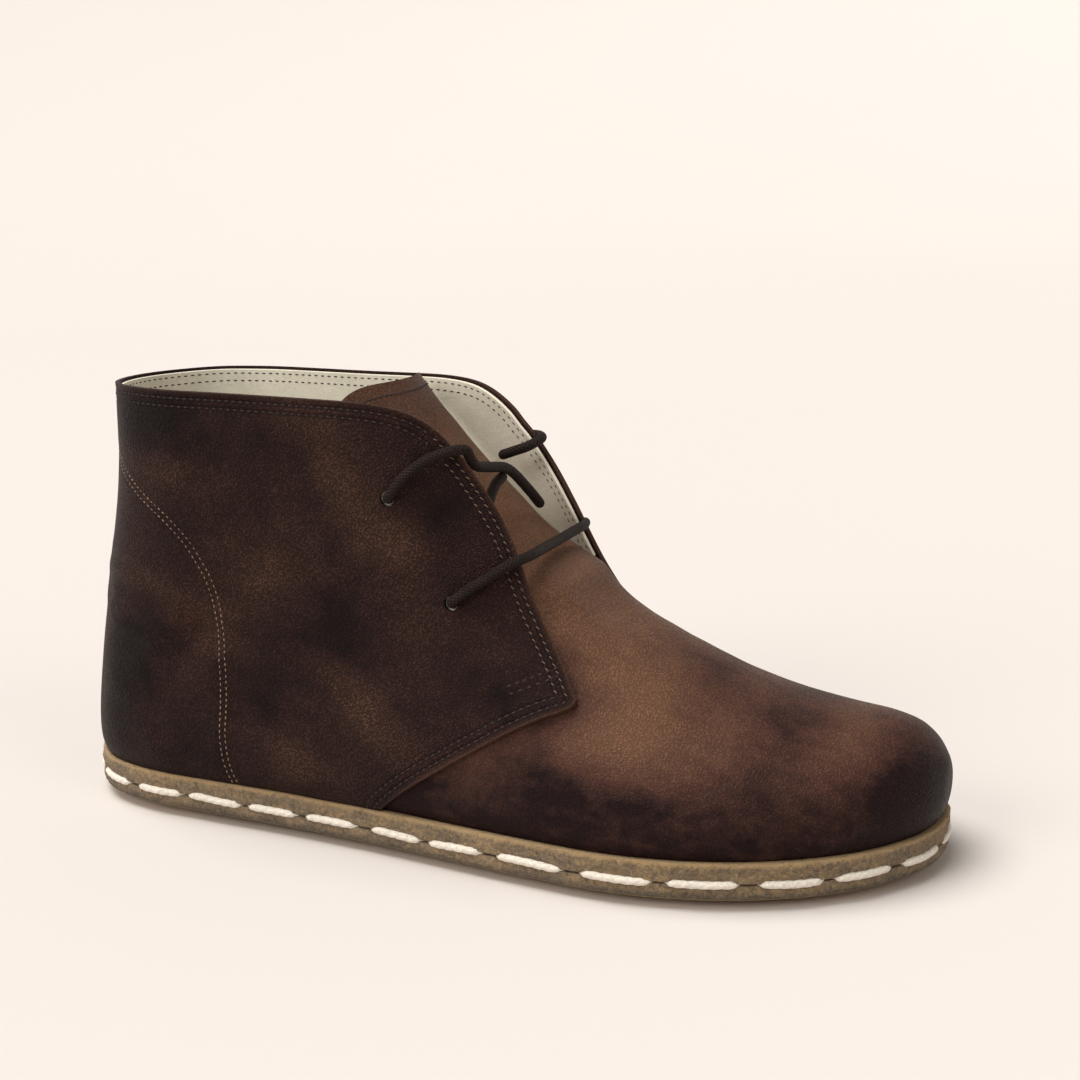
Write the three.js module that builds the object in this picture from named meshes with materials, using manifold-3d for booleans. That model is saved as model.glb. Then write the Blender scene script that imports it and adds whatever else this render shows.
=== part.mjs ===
// Right chukka boot, standing empty on its sole.
// Millimetres, toe towards +X, outer side towards -Y, up is +Z, floor at z = 0.

import * as THREE from 'three';
import Module from 'manifold-3d';

// Outer sizes of the boot
const SOLE_LENGTH = 280;
const BALL_WIDTH = 104;
const COLLAR_HEIGHT = 138;
const INSTEP_HEIGHT = 80;

// Outsole: one thick piece of leather with a shallow dish underneath
const RIM_BOTTOM = 3.4;
const SOLE_THICKNESS = 14.1;
const DISH_REACH = 17;
const CHANNEL_HEIGHT = 7.7;
const CHANNEL_WIDTH = 1.2;
const CHANNEL_DEPTH = 3.5;
const RIM_ROUNDING = 0.5;

// Leather of the upper
const VAMP_THICKNESS = 2.4;
const QUARTER_THICKNESS = 2.6;
const QUARTER_STEP = 1.5;
const LAP_WIDTH = 12;
const TUCK_IN = 2.2;
const BULGE_OUT = 0.8;
const TUCK_HEIGHT = 4;

// Inside pieces
const INSOLE_THICKNESS = 3;
const TONGUE_THICKNESS = 2.2;
const TONGUE_BASE_WIDTH = 53;
const TONGUE_TOP_WIDTH = 58;
const TONGUE_CURVE = 60;
const TONGUE_CORNER = 4;

// Laces and their punched holes
const LACE_DIAMETER = 3.2;
const HOLE_DIAMETER = 4.4;

// Copper rivet
const RIVET_HEAD = 12;
const RIVET_DISC = 7;
const RIVET_SHANK = 5;
const RIVET_CAP = 9;
const RIVET_SUNK = 0.3;
const RIVET_HEAD_THICKNESS = 1.2;
const RIVET_ALONG = 0.695;
const RIVET_ACROSS = 0.05;

// Clearance between neighbouring pieces
const GAP = 0.3;

// How finely the curved faces are divided
const SKIN_AROUND = 60;
const SKIN_LEVELS = 27;
const SOLE_AROUND = 64;
const INSOLE_AROUND = 56;
const TONGUE_ROWS = 12;
const TONGUE_ACROSS = 14;

// Outline of the sole seen from below, walked from the heel along the outer
// side to the toe and back along the inner side.
// along: share of the length. across: share of the ball width, outer side negative.
const OUTLINE = [
  { along: 0.000, across: 0.000 },
  { along: 0.012, across: -0.142 },
  { along: 0.050, across: -0.266 },
  { along: 0.110, across: -0.336 },
  { along: 0.200, across: -0.364 },
  { along: 0.300, across: -0.385 },
  { along: 0.420, across: -0.424 },
  { along: 0.520, across: -0.468 },
  { along: 0.600, across: -0.501 },
  { along: 0.680, across: -0.525 },
  { along: 0.750, across: -0.512 },
  { along: 0.820, across: -0.460 },
  { along: 0.880, across: -0.377 },
  { along: 0.930, across: -0.271 },
  { along: 0.965, across: -0.155 },
  { along: 0.990, across: -0.026 },
  { along: 1.000, across: 0.135 },
  { along: 0.990, across: 0.302 },
  { along: 0.965, across: 0.404 },
  { along: 0.920, across: 0.479 },
  { along: 0.860, across: 0.511 },
  { along: 0.790, across: 0.501 },
  { along: 0.700, across: 0.463 },
  { along: 0.600, across: 0.425 },
  { along: 0.500, across: 0.385 },
  { along: 0.400, across: 0.350 },
  { along: 0.300, across: 0.334 },
  { along: 0.200, across: 0.339 },
  { along: 0.110, across: 0.328 },
  { along: 0.050, across: 0.269 },
  { along: 0.012, across: 0.148 },
];

// Back curve of the heel: how far it leans forward at each height.
// height: share of the collar height. forward: share of the length.
const BACK_CURVE = [
  { height: 0.00, forward: 0.0036 },
  { height: 0.10, forward: 0.0036 },
  { height: 0.15, forward: 0.0060 },
  { height: 0.23, forward: 0.0096 },
  { height: 0.33, forward: 0.0154 },
  { height: 0.43, forward: 0.0225 },
  { height: 0.58, forward: 0.0340 },
  { height: 0.76, forward: 0.0475 },
  { height: 0.84, forward: 0.0500 },
  { height: 1.20, forward: 0.0500 },
];

// Sections across the upper, from the toe to the ankle.
// along: share of the length. crown: height of the ridge as a share of the instep
// height. spring: height where the ridge starts to close over, same share.
// ridge: side shift of the ridge, share of the ball width. leanOuter and leanInner:
// share of the width lost between the sole and the ankle.
const SECTIONS = [
  { along: 1.0000, crown: 0.20, spring: 0.17, ridge: 0.135, leanOuter: 0.00, leanInner: 0.00 },
  { along: 0.9965, crown: 0.380, spring: 0.17, ridge: 0.130, leanOuter: 0.00, leanInner: 0.00 },
  { along: 0.9890, crown: 0.430, spring: 0.17, ridge: 0.125, leanOuter: 0.00, leanInner: 0.00 },
  { along: 0.9775, crown: 0.480, spring: 0.17, ridge: 0.120, leanOuter: 0.00, leanInner: 0.00 },
  { along: 0.9570, crown: 0.526, spring: 0.17, ridge: 0.115, leanOuter: 0.00, leanInner: 0.00 },
  { along: 0.9270, crown: 0.552, spring: 0.17, ridge: 0.105, leanOuter: 0.00, leanInner: 0.00 },
  { along: 0.8930, crown: 0.568, spring: 0.17, ridge: 0.090, leanOuter: 0.00, leanInner: 0.00 },
  { along: 0.8610, crown: 0.588, spring: 0.17, ridge: 0.080, leanOuter: 0.00, leanInner: 0.00 },
  { along: 0.8290, crown: 0.616, spring: 0.17, ridge: 0.065, leanOuter: 0.00, leanInner: 0.00 },
  { along: 0.7960, crown: 0.654, spring: 0.17, ridge: 0.055, leanOuter: 0.00, leanInner: 0.00 },
  { along: 0.7630, crown: 0.700, spring: 0.17, ridge: 0.050, leanOuter: 0.01, leanInner: 0.00 },
  { along: 0.7290, crown: 0.757, spring: 0.18, ridge: 0.045, leanOuter: 0.03, leanInner: 0.01 },
  { along: 0.6930, crown: 0.822, spring: 0.20, ridge: 0.040, leanOuter: 0.06, leanInner: 0.02 },
  { along: 0.6600, crown: 0.890, spring: 0.23, ridge: 0.035, leanOuter: 0.10, leanInner: 0.04 },
  { along: 0.6360, crown: 0.960, spring: 0.27, ridge: 0.030, leanOuter: 0.14, leanInner: 0.06 },
  { along: 0.6070, crown: 1.100, spring: 0.33, ridge: 0.025, leanOuter: 0.19, leanInner: 0.08 },
  { along: 0.5820, crown: 1.275, spring: 0.39, ridge: 0.020, leanOuter: 0.23, leanInner: 0.10 },
  { along: 0.5500, crown: 1.520, spring: 0.46, ridge: 0.015, leanOuter: 0.25, leanInner: 0.11 },
  { along: 0.5180, crown: 1.780, spring: 0.53, ridge: 0.010, leanOuter: 0.25, leanInner: 0.10 },
  { along: 0.4570, crown: 2.260, spring: 0.62, ridge: 0.005, leanOuter: 0.22, leanInner: 0.06 },
  { along: 0.4110, crown: 3.100, spring: 0.72, ridge: 0.000, leanOuter: 0.19, leanInner: 0.04 },
  { along: 0.3570, crown: 5.000, spring: 0.75, ridge: 0.000, leanOuter: 0.17, leanInner: 0.05 },
  { along: 0.2140, crown: 9.000, spring: 0.75, ridge: 0.000, leanOuter: 0.13, leanInner: 0.10 },
  { along: 0.1000, crown: 9.000, spring: 0.75, ridge: 0.000, leanOuter: 0.07, leanInner: 0.08 },
  { along: 0.0000, crown: 9.000, spring: 0.75, ridge: 0.000, leanOuter: 0.04, leanInner: 0.05 },
];
const CROWN_FALL = 2.5;
const CROWN_WIDTH = 1.85;

// Edge of the quarters seen from the side: the collar from the back seam to its
// front corner, then the front edge down to the vamp, the lower corner and the
// lower edge down to the sole.
// along: share of the length. height: share of the collar height.
const COLLAR_EDGE = [
  { along: -0.030, height: 0.984 },
  { along: 0.040, height: 0.986 },
  { along: 0.116, height: 0.992 },
  { along: 0.204, height: 0.993 },
  { along: 0.324, height: 0.992 },
  { along: 0.375, height: 0.991 },
  { along: 0.411, height: 0.986 },
  { along: 0.436, height: 0.976 },
  { along: 0.457, height: 0.958 },
  { along: 0.479, height: 0.926 },
  { along: 0.490, height: 0.899 },
  { along: 0.502, height: 0.872 },
  { along: 0.518, height: 0.819 },
  { along: 0.533, height: 0.770 },
  { along: 0.550, height: 0.703 },
  { along: 0.562, height: 0.655 },
  { along: 0.582, height: 0.588 },
];
const FRONT_EDGE = [
  { along: 0.582, height: 0.588 },
  { along: 0.595, height: 0.556 },
  { along: 0.607, height: 0.523 },
  { along: 0.619, height: 0.490 },
  { along: 0.631, height: 0.456 },
  { along: 0.642, height: 0.418 },
  { along: 0.646, height: 0.402 },
  { along: 0.643, height: 0.391 },
  { along: 0.632, height: 0.380 },
  { along: 0.615, height: 0.367 },
  { along: 0.580, height: 0.330 },
  { along: 0.545, height: 0.285 },
  { along: 0.508, height: 0.236 },
  { along: 0.461, height: 0.169 },
  { along: 0.426, height: 0.105 },
  { along: 0.408, height: 0.060 },
];
const THROAT_HEIGHT = 0.588;

// Tongue: its side shift as a share of the ball width, and where its top lies,
// same shares as above
const TONGUE_SHIFT = -0.008;
const TONGUE_TOP_ALONG = 0.39;
const TONGUE_TOP_HEIGHT = 1.012;

// Lace strands from one end to the other. Where a row has lift the point lies on
// the outside of a quarter, raised by that much more; the others lie free.
// along, height: same shares. across: share of the ball width, outer side negative.
const LOWER_BAR = [
  { side: 'outer', along: 0.503, height: 0.578, lift: 0.0 },
  { side: 'outer', along: 0.520, height: 0.606, lift: 0.3 },
  { side: 'outer', along: 0.540, height: 0.634, lift: 0.6 },
  { side: 'outer', along: 0.557, height: 0.658, lift: 0.7 },
  { along: 0.5705, height: 0.670, across: -0.235 },
  { along: 0.5700, height: 0.669, across: -0.120 },
  { along: 0.5700, height: 0.669, across: 0.000 },
  { along: 0.5700, height: 0.669, across: 0.120 },
  { along: 0.5705, height: 0.670, across: 0.240 },
  { side: 'inner', along: 0.557, height: 0.658, lift: 0.7 },
  { side: 'inner', along: 0.540, height: 0.634, lift: 0.6 },
  { side: 'inner', along: 0.520, height: 0.606, lift: 0.3 },
  { side: 'inner', along: 0.503, height: 0.578, lift: 0.0 },
];
const OUTER_STRAND = [
  { side: 'outer', along: 0.430, height: 0.794, lift: 0.0 },
  { side: 'outer', along: 0.447, height: 0.830, lift: 1.2 },
  { side: 'outer', along: 0.472, height: 0.872, lift: 1.8 },
  { side: 'outer', along: 0.490, height: 0.886, lift: 1.2 },
  { along: 0.5135, height: 0.884, across: -0.262 },
  { along: 0.5120, height: 0.856, across: -0.190 },
  { along: 0.5115, height: 0.832, across: -0.100 },
  { along: 0.5150, height: 0.814, across: 0.000 },
  { along: 0.5200, height: 0.768, across: 0.110 },
  { along: 0.5260, height: 0.716, across: 0.195 },
];
const CROSSING_STRAND = [
  { along: 0.5130, height: 0.813, across: -0.030 },
  { along: 0.5120, height: 0.800, across: -0.090 },
  { along: 0.5170, height: 0.770, across: -0.180 },
];
const INNER_STRAND = [
  { side: 'inner', along: 0.430, height: 0.794, lift: 0.0 },
  { side: 'inner', along: 0.448, height: 0.818, lift: 0.8 },
  { side: 'inner', along: 0.472, height: 0.842, lift: 1.0 },
  { side: 'inner', along: 0.494, height: 0.858, lift: 0.9 },
  { along: 0.5175, height: 0.864, across: 0.262 },
  { along: 0.5080, height: 0.850, across: 0.205 },
  { along: 0.4900, height: 0.836, across: 0.203 },
  { along: 0.4720, height: 0.822, across: 0.214 },
];

// How the tongue leans back between its foot and its top.
// rise: share of its height. back: share of its lean.
const TONGUE_LINE = [
  { rise: 0.000, back: 0.00 },
  { rise: 0.050, back: 0.07 },
  { rise: 0.100, back: 0.17 },
  { rise: 0.166, back: 0.30 },
  { rise: 0.260, back: 0.41 },
  { rise: 0.490, back: 0.63 },
  { rise: 0.750, back: 0.83 },
  { rise: 1.000, back: 1.00 },
];

// Lace holes seen from the side, same shares
const LACE_HOLES = [
  { name: 'upper', along: 0.428, height: 0.790 },
  { name: 'lower', along: 0.501, height: 0.575 },
];

const round = (x) => Math.round(x * 1e4) / 1e4;
const clamp = (x, low, high) => Math.min(high, Math.max(low, x));
const smooth = (x) => {
  const t = clamp(x, 0, 1);
  return t * t * (3 - 2 * t);
};
const alongX = (share) => (share - 0.5) * SOLE_LENGTH;

// Smooth curve through one column of a table, read against another column
function column(table, key, value) {
  const rows = [...table].sort((a, b) => a[key] - b[key]);
  const slope = rows.map((row, i) => {
    const before = rows[Math.max(0, i - 1)];
    const after = rows[Math.min(rows.length - 1, i + 1)];
    const left = (row[value] - before[value]) / Math.max(1e-9, row[key] - before[key]);
    const right = (after[value] - row[value]) / Math.max(1e-9, after[key] - row[key]);
    if (i === 0) return right;
    if (i === rows.length - 1) return left;
    return left * right <= 0 ? 0 : (2 * left * right) / (left + right);
  });
  return (at) => {
    if (at <= rows[0][key]) return rows[0][value];
    if (at >= rows[rows.length - 1][key]) return rows[rows.length - 1][value];
    let i = 0;
    while (rows[i + 1][key] < at) i += 1;
    const span = rows[i + 1][key] - rows[i][key];
    const t = (at - rows[i][key]) / span;
    const t2 = t * t;
    const t3 = t2 * t;
    return (2 * t3 - 3 * t2 + 1) * rows[i][value] + (t3 - 2 * t2 + t) * span * slope[i]
      + (3 * t2 - 2 * t3) * rows[i + 1][value] + (t3 - t2) * span * slope[i + 1];
  };
}

// Outline of the sole as a closed smooth curve
const outlineCurve = new THREE.CatmullRomCurve3(
  OUTLINE.map((row) => new THREE.Vector3(alongX(row.along), row.across * BALL_WIDTH, 0)),
  true, 'centripetal');
outlineCurve.arcLengthDivisions = 800;

function outlineRing(count, inset) {
  const points = [];
  for (let i = 0; i < count; i += 1) {
    const at = i / count;
    const p = outlineCurve.getPointAt(at);
    const d = outlineCurve.getTangentAt(at);
    points.push(new THREE.Vector3(p.x - d.y * inset, p.y + d.x * inset, 0));
  }
  return points;
}

// Half widths of the outline at a place along it
const outlineSamples = outlineCurve.getSpacedPoints(1200);
function outlineSide(outer) {
  const wanted = outlineSamples.filter((p, i) => {
    const d = outlineCurve.getTangentAt(Math.min(1, i / 1200));
    return outer ? d.x > 0 : d.x <= 0;
  }).sort((a, b) => a.x - b.x);
  return (x) => {
    let low = 0;
    let high = wanted.length - 1;
    if (x <= wanted[low].x) return wanted[low].y;
    if (x >= wanted[high].x) return wanted[high].y;
    while (high - low > 1) {
      const mid = (low + high) >> 1;
      if (wanted[mid].x <= x) low = mid;
      else high = mid;
    }
    const a = wanted[low];
    const b = wanted[high];
    return a.y + (b.y - a.y) * (x - a.x) / Math.max(1e-9, b.x - a.x);
  };
}
const outerSide = outlineSide(true);
const innerSide = outlineSide(false);

const crownAt = column(SECTIONS, 'along', 'crown');
const springAt = column(SECTIONS, 'along', 'spring');
const ridgeAt = column(SECTIONS, 'along', 'ridge');
const leanOuterAt = column(SECTIONS, 'along', 'leanOuter');
const leanInnerAt = column(SECTIONS, 'along', 'leanInner');
const forwardAt = column(BACK_CURVE, 'height', 'forward');
const leanAt = column(TONGUE_LINE, 'rise', 'back');

// Reach of the last to either side of its ridge at a place and height
function lastReach(x, z, outer) {
  const forward = forwardAt(z / COLLAR_HEIGHT) * SOLE_LENGTH;
  const fade = 1 - smooth((x - alongX(0.1)) / (0.3 * SOLE_LENGTH));
  const foot = x - forward * fade;
  const share = foot / SOLE_LENGTH + 0.5;
  const ridge = ridgeAt(share) * BALL_WIDTH;
  if (share <= 0 || share >= 1) return { ridge, reach: 0 };
  const crown = crownAt(share) * INSTEP_HEIGHT;
  const spring = springAt(share) * INSTEP_HEIGHT;
  const rise = clamp((z - spring) / (crown - spring), 0, 1);
  const cap = Math.pow(1 - Math.pow(rise, CROWN_FALL), 1 / CROWN_WIDTH);
  const ankle = smooth((z / COLLAR_HEIGHT - 0.14) / 0.46);
  const lean = (outer ? leanOuterAt(share) : leanInnerAt(share)) * ankle;
  const width = outer ? ridge - outerSide(foot) : innerSide(foot) - ridge;
  return { ridge, reach: Math.max(0, width) * (1 - lean) * cap };
}

function insideLast(p) {
  const outer = lastReach(p.x, p.z, true);
  if (p.y < outer.ridge) return outer.ridge - p.y < outer.reach;
  return p.y - outer.ridge < lastReach(p.x, p.z, false).reach;
}

// Rings round the last: each lies in a plane through a point on the back curve
// and a point on the toe and instep curve
function curveByLength(points) {
  const lengths = [0];
  for (let i = 1; i < points.length; i += 1) {
    lengths.push(lengths[i - 1] + points[i].distanceTo(points[i - 1]));
  }
  return (share) => {
    const wanted = share * lengths[lengths.length - 1];
    let i = 0;
    while (i < points.length - 2 && lengths[i + 1] < wanted) i += 1;
    const t = (wanted - lengths[i]) / (lengths[i + 1] - lengths[i]);
    return points[i].clone().lerp(points[i + 1], t);
  };
}

const RING_BOTTOM = SOLE_THICKNESS * 0.55;
const RING_TOP = COLLAR_HEIGHT * 1.12;
const backPoints = [];
for (let i = 0; i <= 60; i += 1) {
  const z = RING_BOTTOM + (RING_TOP - RING_BOTTOM) * i / 60;
  backPoints.push(new THREE.Vector3(-0.5 * SOLE_LENGTH + forwardAt(z / COLLAR_HEIGHT) * SOLE_LENGTH, 0, z));
}
const frontPoints = [new THREE.Vector3(0.5 * SOLE_LENGTH, 0, RING_BOTTOM)];
for (let i = 0; i <= 400; i += 1) {
  const share = 1 - 0.55 * Math.pow(i / 400, 2);
  const z = crownAt(share) * INSTEP_HEIGHT;
  if (z > RING_TOP) break;
  if (z > RING_BOTTOM) frontPoints.push(new THREE.Vector3(alongX(share), 0, z));
}
const backCurve = curveByLength(backPoints);
const frontCurve = curveByLength(frontPoints);

function tuckAt(z) {
  const above = Math.max(0, z - SOLE_THICKNESS);
  return -TUCK_IN + (TUCK_IN + BULGE_OUT) * (1 - Math.exp(-above / TUCK_HEIGHT));
}

function lastGrid() {
  const rows = [];
  for (let level = 0; level <= SKIN_LEVELS; level += 1) {
    const back = backCurve(level / SKIN_LEVELS);
    const front = frontCurve(level / SKIN_LEVELS);
    const centre = back.clone().lerp(front, 0.45);
    centre.y = ridgeAt(centre.x / SOLE_LENGTH + 0.5) * BALL_WIDTH;
    const ahead = front.clone().sub(back).multiplyScalar(0.5);
    ahead.y = 0;
    const row = [];
    for (let i = 0; i < SKIN_AROUND; i += 1) {
      const turn = 2 * Math.PI * i / SKIN_AROUND;
      const ray = ahead.clone().multiplyScalar(Math.cos(turn));
      ray.y += Math.sin(turn) * 0.42 * BALL_WIDTH;
      let low = 0;
      let high = 2.2;
      for (let step = 0; step < 34; step += 1) {
        const mid = (low + high) / 2;
        if (insideLast(centre.clone().addScaledVector(ray, mid))) low = mid;
        else high = mid;
      }
      row.push(centre.clone().addScaledVector(ray, (low + high) / 2));
    }
    rows.push(row);
  }
  return rows;
}

const grid = lastGrid();
const normals = grid.map((row, level) => row.map((p, i) => {
  const next = row[(i + 1) % SKIN_AROUND];
  const before = row[(i + SKIN_AROUND - 1) % SKIN_AROUND];
  const above = grid[Math.min(SKIN_LEVELS, level + 1)][i];
  const below = grid[Math.max(0, level - 1)][i];
  return next.clone().sub(before).cross(above.clone().sub(below)).normalize();
}));

// Point on the last, moved outwards by an offset
function skinPoint(level, i, offset) {
  const p = grid[level][i];
  const out = offset + tuckAt(p.z);
  return p.clone().addScaledVector(normals[level][i], out);
}

// Closed body from rings of equal count, listed from the bottom up, each ring
// walked anticlockwise seen from above
function ringBody(rings) {
  const count = rings[0].length;
  const positions = [];
  const index = [];
  rings.forEach((ring) => ring.forEach((p) => positions.push(round(p.x), round(p.y), round(p.z))));
  for (let r = 0; r < rings.length - 1; r += 1) {
    for (let i = 0; i < count; i += 1) {
      const a = r * count + i;
      const b = r * count + (i + 1) % count;
      const p = rings[r];
      const q = rings[r + 1];
      const j = (i + 1) % count;
      if (p[i].distanceTo(q[j]) <= p[j].distanceTo(q[i])) index.push(a, b, b + count, a, b + count, a + count);
      else index.push(a, b, a + count, b, b + count, a + count);
    }
  }
  [0, rings.length - 1].forEach((r) => {
    const middle = new THREE.Vector3();
    rings[r].forEach((p) => middle.add(p));
    middle.divideScalar(count);
    positions.push(round(middle.x), round(middle.y), round(middle.z));
    const hub = positions.length / 3 - 1;
    for (let i = 0; i < count; i += 1) {
      const a = r * count + i;
      const b = r * count + (i + 1) % count;
      if (r === 0) index.push(hub, b, a);
      else index.push(hub, a, b);
    }
  });
  return { positions, index };
}

const wasm = await Module();
wasm.setup();

function solid(body) {
  return new wasm.Manifold(new wasm.Mesh({
    numProp: 3,
    vertProperties: new Float32Array(body.positions),
    triVerts: new Uint32Array(body.index),
  }));
}

function solidOf(geometry) {
  const positions = [];
  const index = [];
  const seen = new Map();
  const flat = geometry.index ? geometry.toNonIndexed() : geometry;
  const array = flat.attributes.position;
  for (let i = 0; i < array.count; i += 1) {
    const p = [round(array.getX(i)), round(array.getY(i)), round(array.getZ(i))];
    const key = p.join(',');
    if (!seen.has(key)) {
      seen.set(key, positions.length / 3);
      positions.push(...p);
    }
    index.push(seen.get(key));
  }
  const kept = [];
  for (let i = 0; i < index.length; i += 3) {
    const [a, b, c] = [index[i], index[i + 1], index[i + 2]];
    if (a !== b && b !== c && a !== c) kept.push(a, b, c);
  }
  return solid({ positions, index: kept });
}

function geometryOf(manifold) {
  const mesh = manifold.getMesh();
  const geometry = new THREE.BufferGeometry();
  const positions = new Float32Array(mesh.numVert * 3);
  for (let i = 0; i < mesh.numVert; i += 1) {
    for (let k = 0; k < 3; k += 1) positions[i * 3 + k] = mesh.vertProperties[i * mesh.numProp + k];
  }
  geometry.setAttribute('position', new THREE.BufferAttribute(positions, 3));
  geometry.setIndex(new THREE.BufferAttribute(new Uint32Array(mesh.triVerts), 1));
  return geometry;
}

function skinForm(offset) {
  return solid(ringBody(grid.map((row, level) => row.map((p, i) => skinPoint(level, i, offset)))));
}

// Block with the given outline seen from the side, running right across the boot
function sideBlock(points, fromY, toY) {
  const shape = new THREE.Shape(points.map((p) => new THREE.Vector2(p.x, p.y)));
  const geometry = new THREE.ExtrudeGeometry(shape, { depth: toY - fromY, bevelEnabled: false });
  geometry.rotateX(Math.PI / 2);
  geometry.translate(0, toY, 0);
  return solidOf(geometry);
}

function edgeCurve(table, count) {
  const curve = new THREE.CatmullRomCurve3(
    table.map((row) => new THREE.Vector3(alongX(row.along), row.height * COLLAR_HEIGHT, 0)),
    false, 'centripetal');
  return curve.getSpacedPoints(count).map((p) => new THREE.Vector2(p.x, p.y));
}

const FLOOR_OF_UPPER = SOLE_THICKNESS + GAP;
const WIDE = BALL_WIDTH;
const HIGH = COLLAR_HEIGHT * 1.4;
const collarEdge = edgeCurve(COLLAR_EDGE, 26);
const frontEdge = edgeCurve(FRONT_EDGE, 22).filter((p) => p.y > FLOOR_OF_UPPER + 0.2);
const edgeFoot = edgeCurve(FRONT_EDGE, 200).reduce((best, p) =>
  (Math.abs(p.y - FLOOR_OF_UPPER) < Math.abs(best.y - FLOOR_OF_UPPER) ? p : best));
const throatBottom = THROAT_HEIGHT * COLLAR_HEIGHT;

// Everything above the collar and in front of the throat is open
const openingBlock = sideBlock([
  ...collarEdge,
  new THREE.Vector2(alongX(0.75), throatBottom),
  new THREE.Vector2(alongX(0.75), HIGH),
  new THREE.Vector2(alongX(-0.03), HIGH),
], -WIDE, WIDE);

const quarterBlock = sideBlock([
  new THREE.Vector2(alongX(-0.05), FLOOR_OF_UPPER),
  new THREE.Vector2(edgeFoot.x, FLOOR_OF_UPPER),
  ...[...frontEdge].reverse(),
  new THREE.Vector2(alongX(0.65), throatBottom + 1),
  new THREE.Vector2(alongX(0.65), HIGH),
  new THREE.Vector2(alongX(-0.05), HIGH),
], -WIDE, WIDE);

const vampBlock = sideBlock([
  new THREE.Vector2(alongX(1.05), FLOOR_OF_UPPER),
  new THREE.Vector2(alongX(1.05), throatBottom),
  new THREE.Vector2(alongX(0.582) - LAP_WIDTH, throatBottom),
  new THREE.Vector2(edgeFoot.x - LAP_WIDTH, FLOOR_OF_UPPER + 6),
  new THREE.Vector2(edgeFoot.x - LAP_WIDTH, FLOOR_OF_UPPER),
], -WIDE, WIDE);

// Point on the outer or inner wall seen at a place from the side
function wallPoint(x, z, outer, offset) {
  const at = (px, pz) => {
    const r = lastReach(px, pz, outer);
    return outer ? r.ridge - r.reach : r.ridge + r.reach;
  };
  const y = at(x, z);
  const dx = (at(x + 1, z) - at(x - 1, z)) / 2;
  const dz = (at(x, z + 1) - at(x, z - 1)) / 2;
  const normal = new THREE.Vector3(-dx, 1, -dz).normalize();
  if (outer) normal.negate();
  return new THREE.Vector3(x, y, z).addScaledVector(normal, offset + tuckAt(z));
}

function cylinder(diameter, length, sides) {
  const geometry = new THREE.CylinderGeometry(diameter / 2, diameter / 2, length, sides);
  geometry.rotateX(Math.PI / 2);
  return geometry;
}

function holeTools() {
  return LACE_HOLES.flatMap((row) => [true, false].map((outer) => {
    const x = alongX(row.along);
    const z = row.height * COLLAR_HEIGHT;
    const inside = wallPoint(x, z, outer, -6);
    const outside = wallPoint(x, z, outer, 6);
    const tool = cylinder(HOLE_DIAMETER, 12, 12);
    const turn = new THREE.Quaternion().setFromUnitVectors(
      new THREE.Vector3(0, 0, 1), outside.clone().sub(inside).normalize());
    tool.applyQuaternion(turn);
    const middle = inside.add(outside).multiplyScalar(0.5);
    tool.translate(middle.x, middle.y, middle.z);
    return solidOf(tool);
  }));
}

function upperSolid() {
  const vamp = skinForm(0).subtract(skinForm(-VAMP_THICKNESS)).intersect(vampBlock);
  const quarter = skinForm(QUARTER_STEP).subtract(skinForm(QUARTER_STEP - QUARTER_THICKNESS))
    .intersect(quarterBlock);
  let upper = vamp.add(quarter).subtract(openingBlock);
  holeTools().forEach((tool) => {
    upper = upper.subtract(tool);
  });
  return upper;
}

// Outsole profile from the middle of the underside to the top
// inset: distance in from the outline. height: above the floor.
function soleProfile() {
  const lip = CHANNEL_WIDTH / 2;
  return [
    { inset: DISH_REACH, height: 0 },
    { inset: DISH_REACH * 0.62, height: RIM_BOTTOM * 0.10 },
    { inset: DISH_REACH * 0.36, height: RIM_BOTTOM * 0.34 },
    { inset: DISH_REACH * 0.15, height: RIM_BOTTOM * 0.70 },
    { inset: RIM_ROUNDING, height: RIM_BOTTOM },
    { inset: 0, height: RIM_BOTTOM + RIM_ROUNDING * 1.6 },
    { inset: 0, height: CHANNEL_HEIGHT - lip },
    { inset: CHANNEL_DEPTH, height: CHANNEL_HEIGHT - lip * 0.5 },
    { inset: CHANNEL_DEPTH, height: CHANNEL_HEIGHT + lip * 0.5 },
    { inset: 0, height: CHANNEL_HEIGHT + lip },
    { inset: 0, height: SOLE_THICKNESS - RIM_ROUNDING },
    { inset: RIM_ROUNDING, height: SOLE_THICKNESS },
    { inset: DISH_REACH, height: SOLE_THICKNESS },
  ];
}

function platform(profile, count) {
  return solid(ringBody(profile.map((row) =>
    outlineRing(count, row.inset).map((p) => new THREE.Vector3(p.x, p.y, row.height)))));
}

const rivetX = alongX(RIVET_ALONG);
const rivetY = RIVET_ACROSS * BALL_WIDTH;

function rivetProfile(grow) {
  const bottom = RIVET_SUNK - grow;
  const seat = SOLE_THICKNESS + GAP + INSOLE_THICKNESS;
  return [
    [0, bottom - 0.15],
    [RIVET_DISC / 2 - 0.4, bottom - 0.15],
    [RIVET_DISC / 2, bottom + 0.15],
    [RIVET_HEAD / 2 - 0.3, bottom + 0.15],
    [RIVET_HEAD / 2 + grow, bottom + 0.45],
    [RIVET_HEAD / 2 + grow, RIVET_SUNK + RIVET_HEAD_THICKNESS + grow],
    [RIVET_SHANK / 2 + grow, RIVET_SUNK + RIVET_HEAD_THICKNESS + grow],
    [RIVET_SHANK / 2 + grow, seat + GAP],
    [RIVET_CAP / 2, seat + GAP],
    [RIVET_CAP / 2, seat + GAP + 0.6],
    [RIVET_CAP / 2 - 1, seat + GAP + 1],
    [0, seat + GAP + 1],
  ].map(([r, z]) => new THREE.Vector2(r, z));
}

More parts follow.
